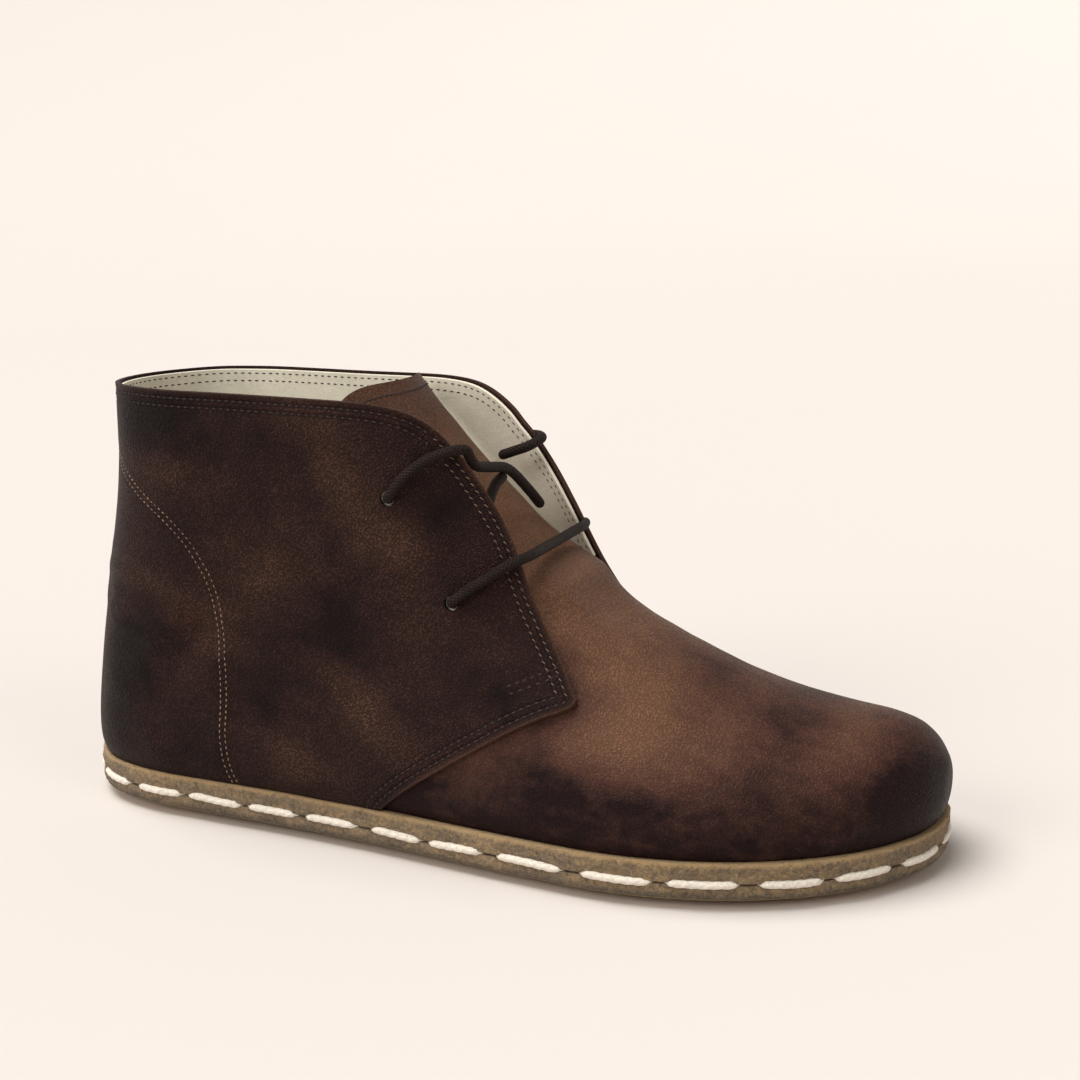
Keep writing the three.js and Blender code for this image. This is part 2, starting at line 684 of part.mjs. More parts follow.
function standing(profile) {
  const geometry = new THREE.LatheGeometry(profile, 24);
  geometry.rotateX(Math.PI / 2);
  geometry.translate(rivetX, rivetY, 0);
  return solidOf(geometry);
}

// Bore for the rivet through the sole and the insole
function rivetBore() {
  const bore = [
    [0, -2],
    [RIVET_HEAD / 2 + GAP, -2],
    [RIVET_HEAD / 2 + GAP, RIVET_SUNK + RIVET_HEAD_THICKNESS + GAP],
    [RIVET_SHANK / 2 + GAP, RIVET_SUNK + RIVET_HEAD_THICKNESS + GAP],
    [RIVET_SHANK / 2 + GAP, SOLE_THICKNESS + INSOLE_THICKNESS + 5],
    [0, SOLE_THICKNESS + INSOLE_THICKNESS + 5],
  ].map(([r, z]) => new THREE.Vector2(r, z));
  return standing(bore);
}

function insoleSolid() {
  const inset = TUCK_IN + VAMP_THICKNESS + GAP + 0.2;
  const base = SOLE_THICKNESS + GAP;
  return platform([
    { inset, height: base },
    { inset, height: base + INSOLE_THICKNESS - 0.6 },
    { inset: inset + 0.6, height: base + INSOLE_THICKNESS },
    { inset: inset + DISH_REACH, height: base + INSOLE_THICKNESS },
  ], INSOLE_AROUND).subtract(rivetBore());
}

// Tongue: a curved sheet that carries on from the vamp and leans back between
// the quarters
function pointAtHeight(i, z) {
  let level = 0;
  while (level < SKIN_LEVELS - 1 && grid[level + 1][i].z < z) level += 1;
  const a = skinPoint(level, i, 0);
  const b = skinPoint(level + 1, i, 0);
  return a.lerp(b, (z - a.z) / (b.z - a.z));
}

function vampEdge(z) {
  const points = [];
  for (let i = -14; i <= 14; i += 1) points.push(pointAtHeight((i + SKIN_AROUND) % SKIN_AROUND, z));
  return (y) => {
    let j = 0;
    while (j < points.length - 2 && points[j + 1].y < y) j += 1;
    return points[j].x + (points[j + 1].x - points[j].x) * (y - points[j].y) / (points[j + 1].y - points[j].y);
  };
}

function tongueSolid() {
  const base = throatBottom + GAP;
  const edgeAt = vampEdge(base);
  const middle = TONGUE_SHIFT * BALL_WIDTH;
  const frontX = edgeAt(middle);
  const topX = alongX(TONGUE_TOP_ALONG);
  const rows = [];
  for (let k = 0; k <= TONGUE_ROWS; k += 1) {
    const t = k / TONGUE_ROWS;
    const z = base + (TONGUE_TOP_HEIGHT * COLLAR_HEIGHT - base) * t;
    const free = smooth(t / 0.35);
    const line = frontX + (topX - frontX) * leanAt(t);
    const half = (TONGUE_BASE_WIDTH + (TONGUE_TOP_WIDTH - TONGUE_BASE_WIDTH) * smooth(t / 0.4)) / 2;
    const across = [];
    for (let c = 0; c <= TONGUE_ACROSS; c += 1) {
      const side = half * (2 * c / TONGUE_ACROSS - 1);
      const sag = side * side / (2 * TONGUE_CURVE);
      const seated = frontX - edgeAt(middle + side);
      const corner = TONGUE_CORNER * Math.pow(Math.abs(side) / half, 6) * smooth((t - 0.7) / 0.3);
      across.push(new THREE.Vector3(line - sag * free - seated * (1 - free), middle + side, z - corner));
    }
    rows.push(across);
  }
  const outwards = (k, c) => {
    const up = rows[Math.min(TONGUE_ROWS, k + 1)][c].clone().sub(rows[Math.max(0, k - 1)][c]);
    const side = rows[k][Math.min(TONGUE_ACROSS, c + 1)].clone().sub(rows[k][Math.max(0, c - 1)]);
    const normal = side.cross(up);
    if (k === 0) normal.z = 0;
    return normal.normalize();
  };
  const positions = [];
  const index = [];
  rows.forEach((row) => row.forEach((p) => positions.push(round(p.x), round(p.y), round(p.z))));
  rows.forEach((row, k) => row.forEach((q, c) => {
    const p = q.clone().addScaledVector(outwards(k, c), -TONGUE_THICKNESS);
    positions.push(round(p.x), round(p.y), round(p.z));
  }));
  const wide = TONGUE_ACROSS + 1;
  const back = rows.length * wide;
  const four = (a, b, c, d) => index.push(a, b, c, a, c, d);
  for (let k = 0; k < TONGUE_ROWS; k += 1) {
    for (let c = 0; c < TONGUE_ACROSS; c += 1) {
      const a = k * wide + c;
      four(a, a + 1, a + wide + 1, a + wide);
      four(back + a, back + a + wide, back + a + wide + 1, back + a + 1);
    }
  }
  const rim = (a, b) => four(a, back + a, back + b, b);
  for (let c = 0; c < TONGUE_ACROSS; c += 1) {
    rim(c, c + 1);
    rim(TONGUE_ROWS * wide + c + 1, TONGUE_ROWS * wide + c);
  }
  for (let k = 0; k < TONGUE_ROWS; k += 1) {
    rim((k + 1) * wide, k * wide);
    rim(k * wide + TONGUE_ACROSS, (k + 1) * wide + TONGUE_ACROSS);
  }
  return solid({ positions, index });
}

// Lace strand along its points, clear of the leather below it
function strand(table, divisions) {
  const seat = QUARTER_STEP + LACE_DIAMETER / 2 + GAP;
  const points = table.map((row) => {
    const x = alongX(row.along);
    const z = row.height * COLLAR_HEIGHT;
    if (row.side) return wallPoint(x, z, row.side === 'outer', seat + row.lift);
    return new THREE.Vector3(x, row.across * BALL_WIDTH, z);
  });
  const section = new THREE.Shape();
  for (let i = 0; i < 8; i += 1) {
    const turn = 2 * Math.PI * i / 8;
    const x = Math.cos(turn) * LACE_DIAMETER / 2;
    const y = Math.sin(turn) * LACE_DIAMETER / 2;
    if (i === 0) section.moveTo(x, y);
    else section.lineTo(x, y);
  }
  section.closePath();
  return solidOf(new THREE.ExtrudeGeometry(section, {
    steps: divisions,
    bevelEnabled: false,
    extrudePath: new THREE.CatmullRomCurve3(points, false, 'centripetal'),
  }));
}

function material(color, roughness, metalness = 0) {
  return new THREE.MeshStandardMaterial({ color, roughness, metalness, flatShading: true });
}

const leatherDark = material(0x43332c, 0.55);
const leatherBrown = material(0x6a4a36, 0.55);
const leatherSole = material(0xc09a63, 0.7);
const leatherInsole = material(0xcfc4a4, 0.8);
const laceDark = material(0x37302c, 0.7);
const copper = material(0xb87345, 0.35, 1);

function named(name, manifold, look) {
  const mesh = new THREE.Mesh(geometryOf(manifold), look);
  mesh.name = name;
  return mesh;
}

const boot = new THREE.Group();
boot.name = 'chukka_boot_right';
boot.add(named('outsole', platform(soleProfile(), SOLE_AROUND).subtract(rivetBore()), leatherSole));
boot.add(named('upper', upperSolid(), leatherDark));
boot.add(named('tongue', tongueSolid(), leatherBrown));
boot.add(named('insole', insoleSolid(), leatherInsole));
boot.add(named('lace_lower_bar', strand(LOWER_BAR, 22), laceDark));
boot.add(named('lace_crossing', strand(OUTER_STRAND, 22).add(strand(CROSSING_STRAND, 4)), laceDark));
boot.add(named('lace_inner_strand', strand(INNER_STRAND, 14), laceDark));
boot.add(named('rivet', standing(rivetProfile(0)), copper));

// The origin is the middle of the boot's box, on the floor
const middle = new THREE.Box3().setFromObject(boot).getCenter(new THREE.Vector3());
boot.children.forEach((mesh) => mesh.geometry.translate(-middle.x, -middle.y, 0));

export default boot;
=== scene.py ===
import math
from collections import namedtuple

import bpy
import numpy as np
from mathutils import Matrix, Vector, noise


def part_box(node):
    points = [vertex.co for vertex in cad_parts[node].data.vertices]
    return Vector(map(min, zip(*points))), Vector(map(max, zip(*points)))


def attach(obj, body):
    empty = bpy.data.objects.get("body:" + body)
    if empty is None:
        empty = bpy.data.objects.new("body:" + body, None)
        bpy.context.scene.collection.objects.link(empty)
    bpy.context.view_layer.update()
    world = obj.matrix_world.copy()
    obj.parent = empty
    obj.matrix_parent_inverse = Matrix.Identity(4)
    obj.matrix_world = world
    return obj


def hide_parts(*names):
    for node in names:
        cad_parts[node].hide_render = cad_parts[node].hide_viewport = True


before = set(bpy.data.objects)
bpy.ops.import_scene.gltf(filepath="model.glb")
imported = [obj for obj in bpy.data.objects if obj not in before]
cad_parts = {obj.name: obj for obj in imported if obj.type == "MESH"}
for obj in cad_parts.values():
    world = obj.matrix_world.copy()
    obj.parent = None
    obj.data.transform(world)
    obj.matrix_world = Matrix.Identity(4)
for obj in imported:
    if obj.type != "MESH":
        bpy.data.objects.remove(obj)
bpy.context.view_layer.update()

bl_info = {
    "name": "Chukka boot",
    "version": (1, 0, 0),
    "blender": (4, 5, 0),
    "location": "View3D > Sidebar > Boot",
    "description": "Leather, stitching, laces and sole of a right chukka boot",
    "category": "Object",
}

# Millimetres to Blender's metres
MM = 0.001

# Outline of the sole from the heel along the outer side to the toe and back.
# Shares of the sole's length and of the ball's width, outer side negative.
OUTLINE = [
    (0.000, 0.000), (0.012, -0.142), (0.050, -0.266), (0.110, -0.336), (0.200, -0.364),
    (0.300, -0.385), (0.420, -0.424), (0.520, -0.468), (0.600, -0.501), (0.680, -0.525),
    (0.750, -0.512), (0.820, -0.460), (0.880, -0.377), (0.930, -0.271), (0.965, -0.155),
    (0.990, -0.026), (1.000, 0.135), (0.990, 0.302), (0.965, 0.404), (0.920, 0.479),
    (0.860, 0.511), (0.790, 0.501), (0.700, 0.463), (0.600, 0.425), (0.500, 0.385),
    (0.400, 0.350), (0.300, 0.334), (0.200, 0.339), (0.110, 0.328), (0.050, 0.269),
    (0.012, 0.148),
]

# Back curve of the heel: share of the collar height, share of the length
BACK_CURVE = [
    (0.00, 0.0036), (0.10, 0.0036), (0.15, 0.0060), (0.23, 0.0096), (0.33, 0.0154),
    (0.43, 0.0225), (0.58, 0.0340), (0.76, 0.0475), (0.84, 0.0500), (1.20, 0.0500),
]

# Sections across the upper, from the toe to the heel, as in the solid
Section = namedtuple("Section", "along crown spring ridge lean_outer lean_inner")
SECTIONS = [Section(*row) for row in [
    (1.0000, 0.200, 0.17, 0.135, 0.00, 0.00),
    (0.9965, 0.380, 0.17, 0.130, 0.00, 0.00),
    (0.9890, 0.430, 0.17, 0.125, 0.00, 0.00),
    (0.9775, 0.480, 0.17, 0.120, 0.00, 0.00),
    (0.9570, 0.526, 0.17, 0.115, 0.00, 0.00),
    (0.9270, 0.552, 0.17, 0.105, 0.00, 0.00),
    (0.8930, 0.568, 0.17, 0.090, 0.00, 0.00),
    (0.8610, 0.588, 0.17, 0.080, 0.00, 0.00),
    (0.8290, 0.616, 0.17, 0.065, 0.00, 0.00),
    (0.7960, 0.654, 0.17, 0.055, 0.00, 0.00),
    (0.7630, 0.700, 0.17, 0.050, 0.01, 0.00),
    (0.7290, 0.757, 0.18, 0.045, 0.03, 0.01),
    (0.6930, 0.822, 0.20, 0.040, 0.06, 0.02),
    (0.6600, 0.890, 0.23, 0.035, 0.10, 0.04),
    (0.6360, 0.960, 0.27, 0.030, 0.14, 0.06),
    (0.6070, 1.100, 0.33, 0.025, 0.19, 0.08),
    (0.5820, 1.275, 0.39, 0.020, 0.23, 0.10),
    (0.5500, 1.520, 0.46, 0.015, 0.25, 0.11),
    (0.5180, 1.780, 0.53, 0.010, 0.25, 0.10),
    (0.4570, 2.260, 0.62, 0.005, 0.22, 0.06),
    (0.4110, 3.100, 0.72, 0.000, 0.19, 0.04),
    (0.3570, 5.000, 0.75, 0.000, 0.17, 0.05),
    (0.2140, 9.000, 0.75, 0.000, 0.13, 0.10),
    (0.1000, 9.000, 0.75, 0.000, 0.07, 0.08),
    (0.0000, 9.000, 0.75, 0.000, 0.04, 0.05),
]]
CROWN_FALL = 2.5
CROWN_WIDTH = 1.85

# Edge of the quarters from the side: shares of the length and of the collar height.
# The collar and throat, then the front edge to its corner, then the lower edge.
COLLAR_EDGE = [
    (-0.030, 0.984), (0.040, 0.986), (0.116, 0.992), (0.204, 0.993), (0.324, 0.992),
    (0.375, 0.991), (0.411, 0.986), (0.436, 0.976), (0.457, 0.958), (0.479, 0.926),
    (0.491, 0.899), (0.504, 0.872), (0.524, 0.819), (0.540, 0.770), (0.558, 0.703),
    (0.569, 0.655),
]
FRONT_EDGE = [
    (0.585, 0.588), (0.594, 0.556), (0.604, 0.523), (0.615, 0.490), (0.627, 0.456),
    (0.640, 0.418), (0.646, 0.402),
]
LOWER_EDGE = [
    (0.646, 0.402), (0.643, 0.391), (0.632, 0.380), (0.615, 0.367), (0.580, 0.330),
    (0.545, 0.285), (0.508, 0.236), (0.461, 0.169), (0.426, 0.105), (0.408, 0.060),
]
LOWER_EDGE_END = LOWER_EDGE[-1][0]
COLLAR_BEND = 0.400
THROAT_HEIGHT = 0.588

# Tongue: share of its height, share of its lean back
TONGUE_LINE = [
    (0.000, 0.00), (0.050, 0.09), (0.100, 0.17), (0.166, 0.27), (0.260, 0.375),
    (0.490, 0.60), (0.750, 0.82), (1.000, 1.00),
]
TONGUE_SHIFT = -0.008
TONGUE_TOP = (0.39, 1.012)

# Lace strands as runs of points: share of the length, share of the collar height, then on
# a quarter the lift off its face in millimetres, or in the open the share of the ball's
# width across
LOWER_RUN = [
    (0.5005, 0.574, -5.0), (0.5010, 0.575, -2.2), (0.5040, 0.580, -0.2),
    (0.5200, 0.606, 0.1), (0.5400, 0.634, 0.2), (0.5570, 0.658, 0.3),
]
LACES = {
    "lace_lower_bar": [
        ("outer", LOWER_RUN),
        ("open", [(0.5705, 0.670, -0.235), (0.5700, 0.669, -0.120), (0.5690, 0.667, 0.000),
                  (0.5700, 0.669, 0.120), (0.5705, 0.670, 0.240)]),
        ("inner", LOWER_RUN[::-1]),
    ],
    "lace_crossing": [
        ("outer", [(0.4275, 0.789, -5.0), (0.4280, 0.790, -2.2), (0.4320, 0.798, 0.0),
                   (0.4440, 0.832, 1.0), (0.4620, 0.864, 1.5), (0.4840, 0.886, 1.2)]),
        ("open", [(0.5035, 0.893, -0.266), (0.5060, 0.874, -0.246), (0.5065, 0.853, -0.205),
                  (0.5100, 0.842, -0.130), (0.5150, 0.826, -0.020), (0.5200, 0.768, 0.110),
                  (0.5260, 0.716, 0.195)]),
    ],
    "lace_short_strand": [
        ("open", [(0.5130, 0.813, -0.030), (0.5120, 0.800, -0.090), (0.5170, 0.770, -0.180),
                  (0.5200, 0.740, -0.225)]),
    ],
    "lace_inner_strand": [
        ("inner", [(0.4275, 0.789, -5.0), (0.4280, 0.790, -2.2), (0.4320, 0.796, 0.0),
                   (0.4480, 0.818, 0.5), (0.4720, 0.842, 0.7), (0.4940, 0.858, 0.6)]),
        ("open", [(0.5165, 0.864, 0.262), (0.5080, 0.850, 0.205), (0.4900, 0.836, 0.203),
                  (0.4720, 0.822, 0.214)]),
    ],
}
LACE_HOLES = [(0.428, 0.790), (0.501, 0.575)]

# Outer face of the quarters, in millimetres off the last
FACE = 1.5

# Rows of stitches beside an edge: millimetres in from it
EDGE_ROWS = (2.2, 4.7)
COUNTER_SEAM = [
    (-126, 117), (-121, 113.2), (-115, 108.8), (-107, 103.4), (-97, 97.2), (-89.8, 91.0),
    (-84.8, 84.3), (-81.2, 77.2), (-78.8, 69.6), (-77.2, 60.6), (-76.3, 49),
    (-76.1, 39), (-76.2, 30.5), (-75.4, 22.8), (-73.4, 15),
]
BAR_TACK = [(34.6, 62.6), (20.2, 56.6)]

# Thread round the sole: start and end of each stitch, walked from the heel
SOLE_STITCHES = [
    (27.0, 42.6), (48.9, 65.0), (69.5, 87.0), (92.1, 107.9), (113.4, 129.5), (137.3, 152.8),
    (158.0, 174.0), (181.5, 200.7), (208.9, 227.6), (234.2, 252.5), (260.7, 277.4),
    (283.6, 301.0), (307.8, 325.4),
]
REST_OF_STITCHES = 15

# Soft folds, seen from the side in millimetres: points, half width, depth
FOLDS = [
    ([(-124, 72), (-108, 70), (-93, 66), (-80, 61)], 3.0, 0.95),
    ([(-118, 65), (-102, 61), (-91, 57)], 2.2, 0.60),
    ([(-124, 79), (-110, 78), (-97, 73)], 2.4, 0.50),
    ([(-80, 76), (-86, 62), (-97, 48)], 4.5, 0.80),
    ([(-54, 134), (-41, 116), (-27, 100), (-14, 86)], 6.0, 1.10),
    ([(-66, 130), (-54, 113), (-40, 96)], 5.5, 0.75),
    ([(-46, 58), (-31, 47), (-10, 36)], 6.0, 0.95),
    ([(-36, 64), (-20, 55), (-3, 48)], 4.5, 0.60),
    ([(-66, 42), (-46, 33), (-28, 22)], 6.0, 0.80),
    ([(-114, 52), (-100, 42), (-92, 28)], 5.5, 0.70),
    ([(-70, 96), (-58, 84), (-44, 76)], 6.0, 0.55),
    ([(-8, 112), (-2, 100), (4, 84)], 4.5, 0.45),
]

# Lighter and darker places of the leather: where the oils have been pulled out or stay in,
# and on the vamp also painted highlight, painted shade and painted light on the tongue:
# place from the side, reach along and across, turn in degrees, strength
Spot = namedtuple("Spot", "x z along across turn strength")
QUARTER_SPOTS = [Spot(*row) for row in [
    (-33, 110, 30, 8, -52, 0.75), (-17, 96, 11, 9, 0, 0.55), (-100, 112, 24, 6, -8, 0.45),
    (-92, 70, 26, 7, -22, 0.55), (-64, 80, 17, 6, 60, 0.45), (-26, 46, 24, 7, -35, 0.85),
    (-85, 57, 18, 5, 55, 0.40), (-52, 28, 22, 6, -20, 0.45), (10, 70, 12, 7, -60, 0.30),
    (-102, 129, 18, 9, 0, -0.55), (-52, 124, 12, 8, 0, -0.35), (-110, 56, 12, 11, 20, -0.60),
    (-40, 66, 20, 11, 10, -0.55), (-63, 43, 12, 10, 0, -0.45), (8, 58, 16, 8, -30, -0.45),
    (-2, 108, 10, 12, -60, -0.45), (-120, 30, 12, 14, 0, -0.30),
]]
# Vamp spots: amber mottling, plus a painted highlight along the side, painted shade low near the
# sole and toe, and painted light on the tongue where it lies in shade
VAMP_SPOTS = [Spot(*row) for row in [
    (38, 70, 22, 9, -35, 0.95), (56, 58, 16, 8, -30, 0.80), (44, 46, 18, 6, 10, 0.60),
    (66, 42, 20, 8, -8, 0.75), (84, 50, 16, 7, -20, 0.50), (113, 41, 12, 6, -10, 0.50),
    (12, 98, 24, 22, 0, 1.50), (-14, 122, 24, 16, -35, 1.00), (32, 62, 8, 8, 0, -0.35),
    (74, 58, 9, 7, 0, -0.40), (96, 46, 12, 6, 0, -0.35), (130, 36, 10, 10, 0, -0.35),
    (138, 26, 8, 12, 0, -0.55), (52, 31, 26, 5, -5, -0.40), (30, 42, 10, 10, 40, -0.45),
]]

# Creases across the vamp: place along it, bow, width, depth, reach to the sides
VAMP_CREASES = [
    (58, 0.0016, 3.6, 0.22, 34), (67, 0.0020, 3.0, 0.16, 30),
    (77, 0.0024, 4.2, 0.20, 36), (47, 0.0012, 3.4, 0.18, 24),
]

# Slit in the sole's edge, in millimetres: height, half width, how far a stitch spreads it
# and draws the leather in
SLIT_HEIGHT = 7.8
SLIT_HALF = 0.28
SLIT_SPREAD = 0.66
SLIT_DRAW = 0.30

# The dished rim under the sole: inset from the edge, height at the edge, and its curve in
# shares of both
RIM_INSET = 17.0
RIM_HEIGHT = 3.4
RIM_CURVE = [
    (0.80, 0.04), (0.62, 0.13), (0.48, 0.24), (0.36, 0.36), (0.25, 0.51), (0.16, 0.67),
    (0.09, 0.82),
]

# The sole's upper corner: inset, rise over the sole's top, roughness
TOP_CORNER = [(0.12, -0.40, 1.0), (0.40, -0.10, 1.0), (0.85, 0.05, 0.9), (1.5, 0.05, 0.6),
              (2.3, 0, 0.3)]

# Thread in the slit: how far a stitch runs on at its ends, inset at the ends, how much
# less in its middle, and where and how fast its ends dive into the leather
THREAD_ENDS = 1.6
THREAD_INSET = 0.62
THREAD_STANDS = 0.22
DIVE_FROM = 1.2
DIVE = 0.36

# Hollows in the quarters, in millimetres: the heel seam's depth, half gap and half width,
# and the back seam's depth, with its half width as a share of the way to the toe
HEEL_HOLLOW = (0.16, 1.0, 0.6)
BACK_HOLLOW = (0.30, 0.004)

# Fine stitches: colour, radius, sink, share of the pitch, slant
SEAMS = {
    "edge_stitches": ("edge_thread", 0.34, -0.04, 1.0, 0.0),
    # The front edge's thread is the edge thread with a painted highlight
    "front_stitches": ("front_thread_painted_highlight", 0.20, -0.04, 1.0, 0.42),
    "heel_stitches": ("pale_thread", 0.19, 0.03, 0.78, 0.0),
    "lining_stitches": ("edge_thread", 0.24, 0.06, 1.0, 0.0),
}

# Leathers: how much painted shade darkens them near the sole, contrast of mottling and grain
QUARTER_PAINTED_SHADE_AND_CONTRAST = (0.08, 0.74)
VAMP_PAINTED_SHADE_AND_CONTRAST = (0.30, 0.46)

# The quarters' front edge stands up from FRONT_FROM of the length on
FRONT_FROM = 0.42
FRONT_BLEND = 18.0
FRONT_LIFT = 0.32
FRONT_REACH = 2.2
FOLD_MARGIN = 12.0

# Vamp and tongue: columns and rows of their grid, the share of the columns that the
# tongue takes, its half widths at the throat and at the top, and the hidden lap
VAMP_ACROSS = 250
VAMP_ROWS = 140
TONGUE_ROWS = 66
TONGUE_SHARE = 0.56
TONGUE_HALF = 33.0
TONGUE_TOP_HALF = 29.0
LAP = 13.0

# Where the rivet sits: shares of the length and of the ball's width
RIVET_PLACE = (0.695, 0.05)

# Colours of what is seen only as thin lines
RAW_EDGE = ((0.125, 0.066, 0.043), (0.030, 0.014, 0.010))
LINING_EDGE = ((0.62, 0.54, 0.40), (0.36, 0.29, 0.20))
# Painted shadow: near-black cords sunk into the stitch holes
STITCH_HOLE_SHADOW = ((0.008, 0.004, 0.003), (0.004, 0.002, 0.002))

# The camera, fitted to the photograph: picture side, focal length and principal point in
# its pixels, directions in degrees, distance and height of the target in metres
PICTURE = 1080
FOCAL = 1914.12
CENTRE = (496.83, 637.06)
AZIMUTH, ELEVATION = 21.39, 14.73
DISTANCE, TARGET_HEIGHT = 0.600, 0.060

# Soft suns: energy, angular size in degrees, direction that they shine from
SUNS = {
    "key": (3.5, 42, (-0.35, -0.10, 1)),
    "side_fill": (1.35, 30, (-0.55, -1.0, 0.62)),
    "toe_fill": (0.40, 30, (1.0, -0.45, 0.8)),
}
SKY = (1.0, 0.975, 0.95, 1)
SKY_STRENGTH = 0.24
SUN_TONE = (1.0, 0.985, 0.965)


def measure(name, description, value, low, high):
    return bpy.props.FloatProperty(
        name=name, description=description, unit="LENGTH", default=value, min=low, max=high)


def colour(name, description, value):
    return bpy.props.FloatVectorProperty(
        name=name, description=description, subtype="COLOR", size=3, min=0, max=1,
        default=value)


class BootSizes(bpy.types.PropertyGroup):
    """Sizes of the boot"""

    sole_length: measure("Sole length", "Heel to toe, outside", 0.280, 0.20, 0.34)
    ball_width: measure("Ball width", "Width of the sole at the ball", 0.104, 0.07, 0.13)
    collar_height: measure("Collar height", "Floor to the top of the collar", 0.138, 0.09, 0.18)
    instep_height: measure("Instep height", "Scale of the heights over the foot", 0.080, 0.05, 0.12)
    sole_thickness: measure("Sole thickness", "Floor to the top of the sole", 0.0141, 0.006, 0.03)
    quarter_leather: measure("Quarter leather", "Thickness of the quarters", 0.0015, 0.0008, 0.003)
    vamp_leather: measure("Vamp leather", "Thickness of vamp and tongue", 0.0019, 0.0008, 0.003)
    lining_leather: measure("Lining leather", "Thickness of the lining", 0.0010, 0.0005, 0.002)
    lace: measure("Lace", "Diameter of the round lace", 0.0032, 0.002, 0.006)
    hole: measure("Lace hole", "Diameter of the punched holes", 0.0044, 0.003, 0.008)
    sole_thread: measure("Sole thread", "Diameter of the sole's thread", 0.0025, 0.001, 0.005)
    stitch_pitch: measure("Stitch pitch", "Spacing of the fine stitches", 0.0024, 0.0015, 0.005)
    rivet: measure("Rivet head", "Diameter of the copper rivet's head", 0.012, 0.006, 0.02)


class BootColours(bpy.types.PropertyGroup):
    """Colours of the boot"""

    quarter_dark: colour("Quarter, dark", "Dark tone of the quarters", (0.0090, 0.0035, 0.0034))
    quarter_mid: colour("Quarter, middle", "Main tone of the quarters", (0.0360, 0.0145, 0.0112))
    quarter_light: colour("Quarter, light", "Pulled-up tone of quarters", (0.088, 0.043, 0.0265))
    vamp_dark: colour("Vamp, dark", "Dark tone of the vamp", (0.0120, 0.0042, 0.0044))
    vamp_mid: colour("Vamp, middle", "Main tone of the vamp", (0.076, 0.0325, 0.0225))
    vamp_light: colour("Vamp, light", "Amber tone of the vamp", (0.172, 0.084, 0.047))
    lining: colour("Lining", "Cream lining leather", (0.90, 0.83, 0.69))
    insole: colour("Insole", "Pale insole", (0.60, 0.51, 0.36))
    lace: colour("Lace", "Waxed cord", (0.0190, 0.0112, 0.0086))
    edge_thread: colour("Edge thread", "Fine thread of the edges", (0.024, 0.0125, 0.0095))
    # Painted highlight: the edge thread made lighter where the light catches the front edge
    front_thread_painted_highlight: colour("Front thread", "Fine thread of the front edge", (0.118, 0.076, 0.052))
    pale_thread: colour("Pale thread", "Fine thread of the heel seam", (0.26, 0.175, 0.110))
    sole_thread: colour("Sole thread", "Waxed thread round the sole", (0.80, 0.73, 0.62))
    sole_edge: colour("Sole edge", "Raw cut edge of the sole", (0.290, 0.190, 0.088))
    sole_face: colour("Sole face", "Smooth underside", (0.50, 0.315, 0.125))
    copper: colour("Copper", "Rivet", (0.62, 0.25, 0.15))
    backdrop: colour("Backdrop", "Floor and backdrop", (0.617, 0.571, 0.535))


def boot_sizes():
    return bpy.context.scene.boot_sizes


def boot_colours():
    return bpy.context.scene.boot_colours


def smooth(x):
    t = np.clip(x, 0, 1)
    return t * t * (3 - 2 * t)


def column(xs, ys):
    """Smooth curve through a table's column, without overshoot"""
    order = np.argsort(xs)
    xs, ys = np.array(xs, float)[order], np.array(ys, float)[order]
    rise = np.diff(ys) / np.diff(xs)
    slope = np.empty_like(ys)
    slope[0], slope[-1] = rise[0], rise[-1]
    left, right = rise[:-1], rise[1:]
    same = left * right > 0
    slope[1:-1] = np.where(same, 2 * left * right / np.where(same, left + right, 1), 0)

    def read(at):
        at = np.clip(at, xs[0], xs[-1])
        i = np.clip(np.searchsorted(xs, at, side="right") - 1, 0, len(xs) - 2)
        span = xs[i + 1] - xs[i]
        t = (at - xs[i]) / span
        t2, t3 = t * t, t * t * t
        return ((2 * t3 - 3 * t2 + 1) * ys[i] + (t3 - 2 * t2 + t) * span * slope[i]
                + (3 * t2 - 2 * t3) * ys[i + 1] + (t3 - t2) * span * slope[i + 1])

    return read


def smooth_line(points, closed=False, per=24):
    """Centripetal curve through the points, as a dense line"""
    p = np.array(points, float)
    count = len(p)
    out = []
    for i in range(count if closed else count - 1):
        if closed:
            a, b, c, d = p[i - 1], p[i], p[(i + 1) % count], p[(i + 2) % count]
        else:
            b, c = p[i], p[i + 1]
            a = p[i - 1] if i else 2 * b - c
            d = p[i + 2] if i + 2 < count else 2 * c - b
        d0, d1, d2 = [np.linalg.norm(v - u) ** 0.5 for u, v in ((a, b), (b, c), (c, d))]
        t1 = ((b - a) / d0 - (c - a) / (d0 + d1) + (c - b) / d1) * d1
        t2 = ((c - b) / d1 - (d - b) / (d1 + d2) + (d - c) / d2) * d1
        t = np.arange(per)[:, None] / per
        out.append(b + t1 * t + (3 * (c - b) - 2 * t1 - t2) * t ** 2
                   + (2 * (b - c) + t1 + t2) * t ** 3)
    if not closed:
        out.append(p[-1:])
    return np.concatenate(out)


def lengths_along(line):
    return np.r_[0, np.cumsum(np.linalg.norm(np.diff(line, axis=0), axis=1))]


def at_lengths(line, wanted):
    """Points of a line at the given lengths along it"""
    along = lengths_along(line)
    return np.stack([np.interp(wanted, along, line[:, k]) for k in range(line.shape[1])], -1)


def evenly(line, count):
    return at_lengths(line, np.linspace(0, lengths_along(line)[-1], count))


def distance_to(points, line):
    """Distance of each point from a line of straight pieces"""
    flat = points.reshape(-1, points.shape[-1])
    a, b = line[:-1], line[1:]
    d = b - a
    size = np.maximum((d * d).sum(1), 1e-12)
    best = np.empty(len(flat))
    for i in range(0, len(flat), 4000):
        part = flat[i:i + 4000, None, :]
        t = np.clip(((part - a) * d).sum(2) / size, 0, 1)
        gap = part - (a + t[..., None] * d)
        best[i:i + 4000] = np.sqrt((gap * gap).sum(2).min(1))
    return best.reshape(points.shape[:-1])


def unit(v):
    return v / np.maximum(np.linalg.norm(v, axis=-1, keepdims=True), 1e-12)


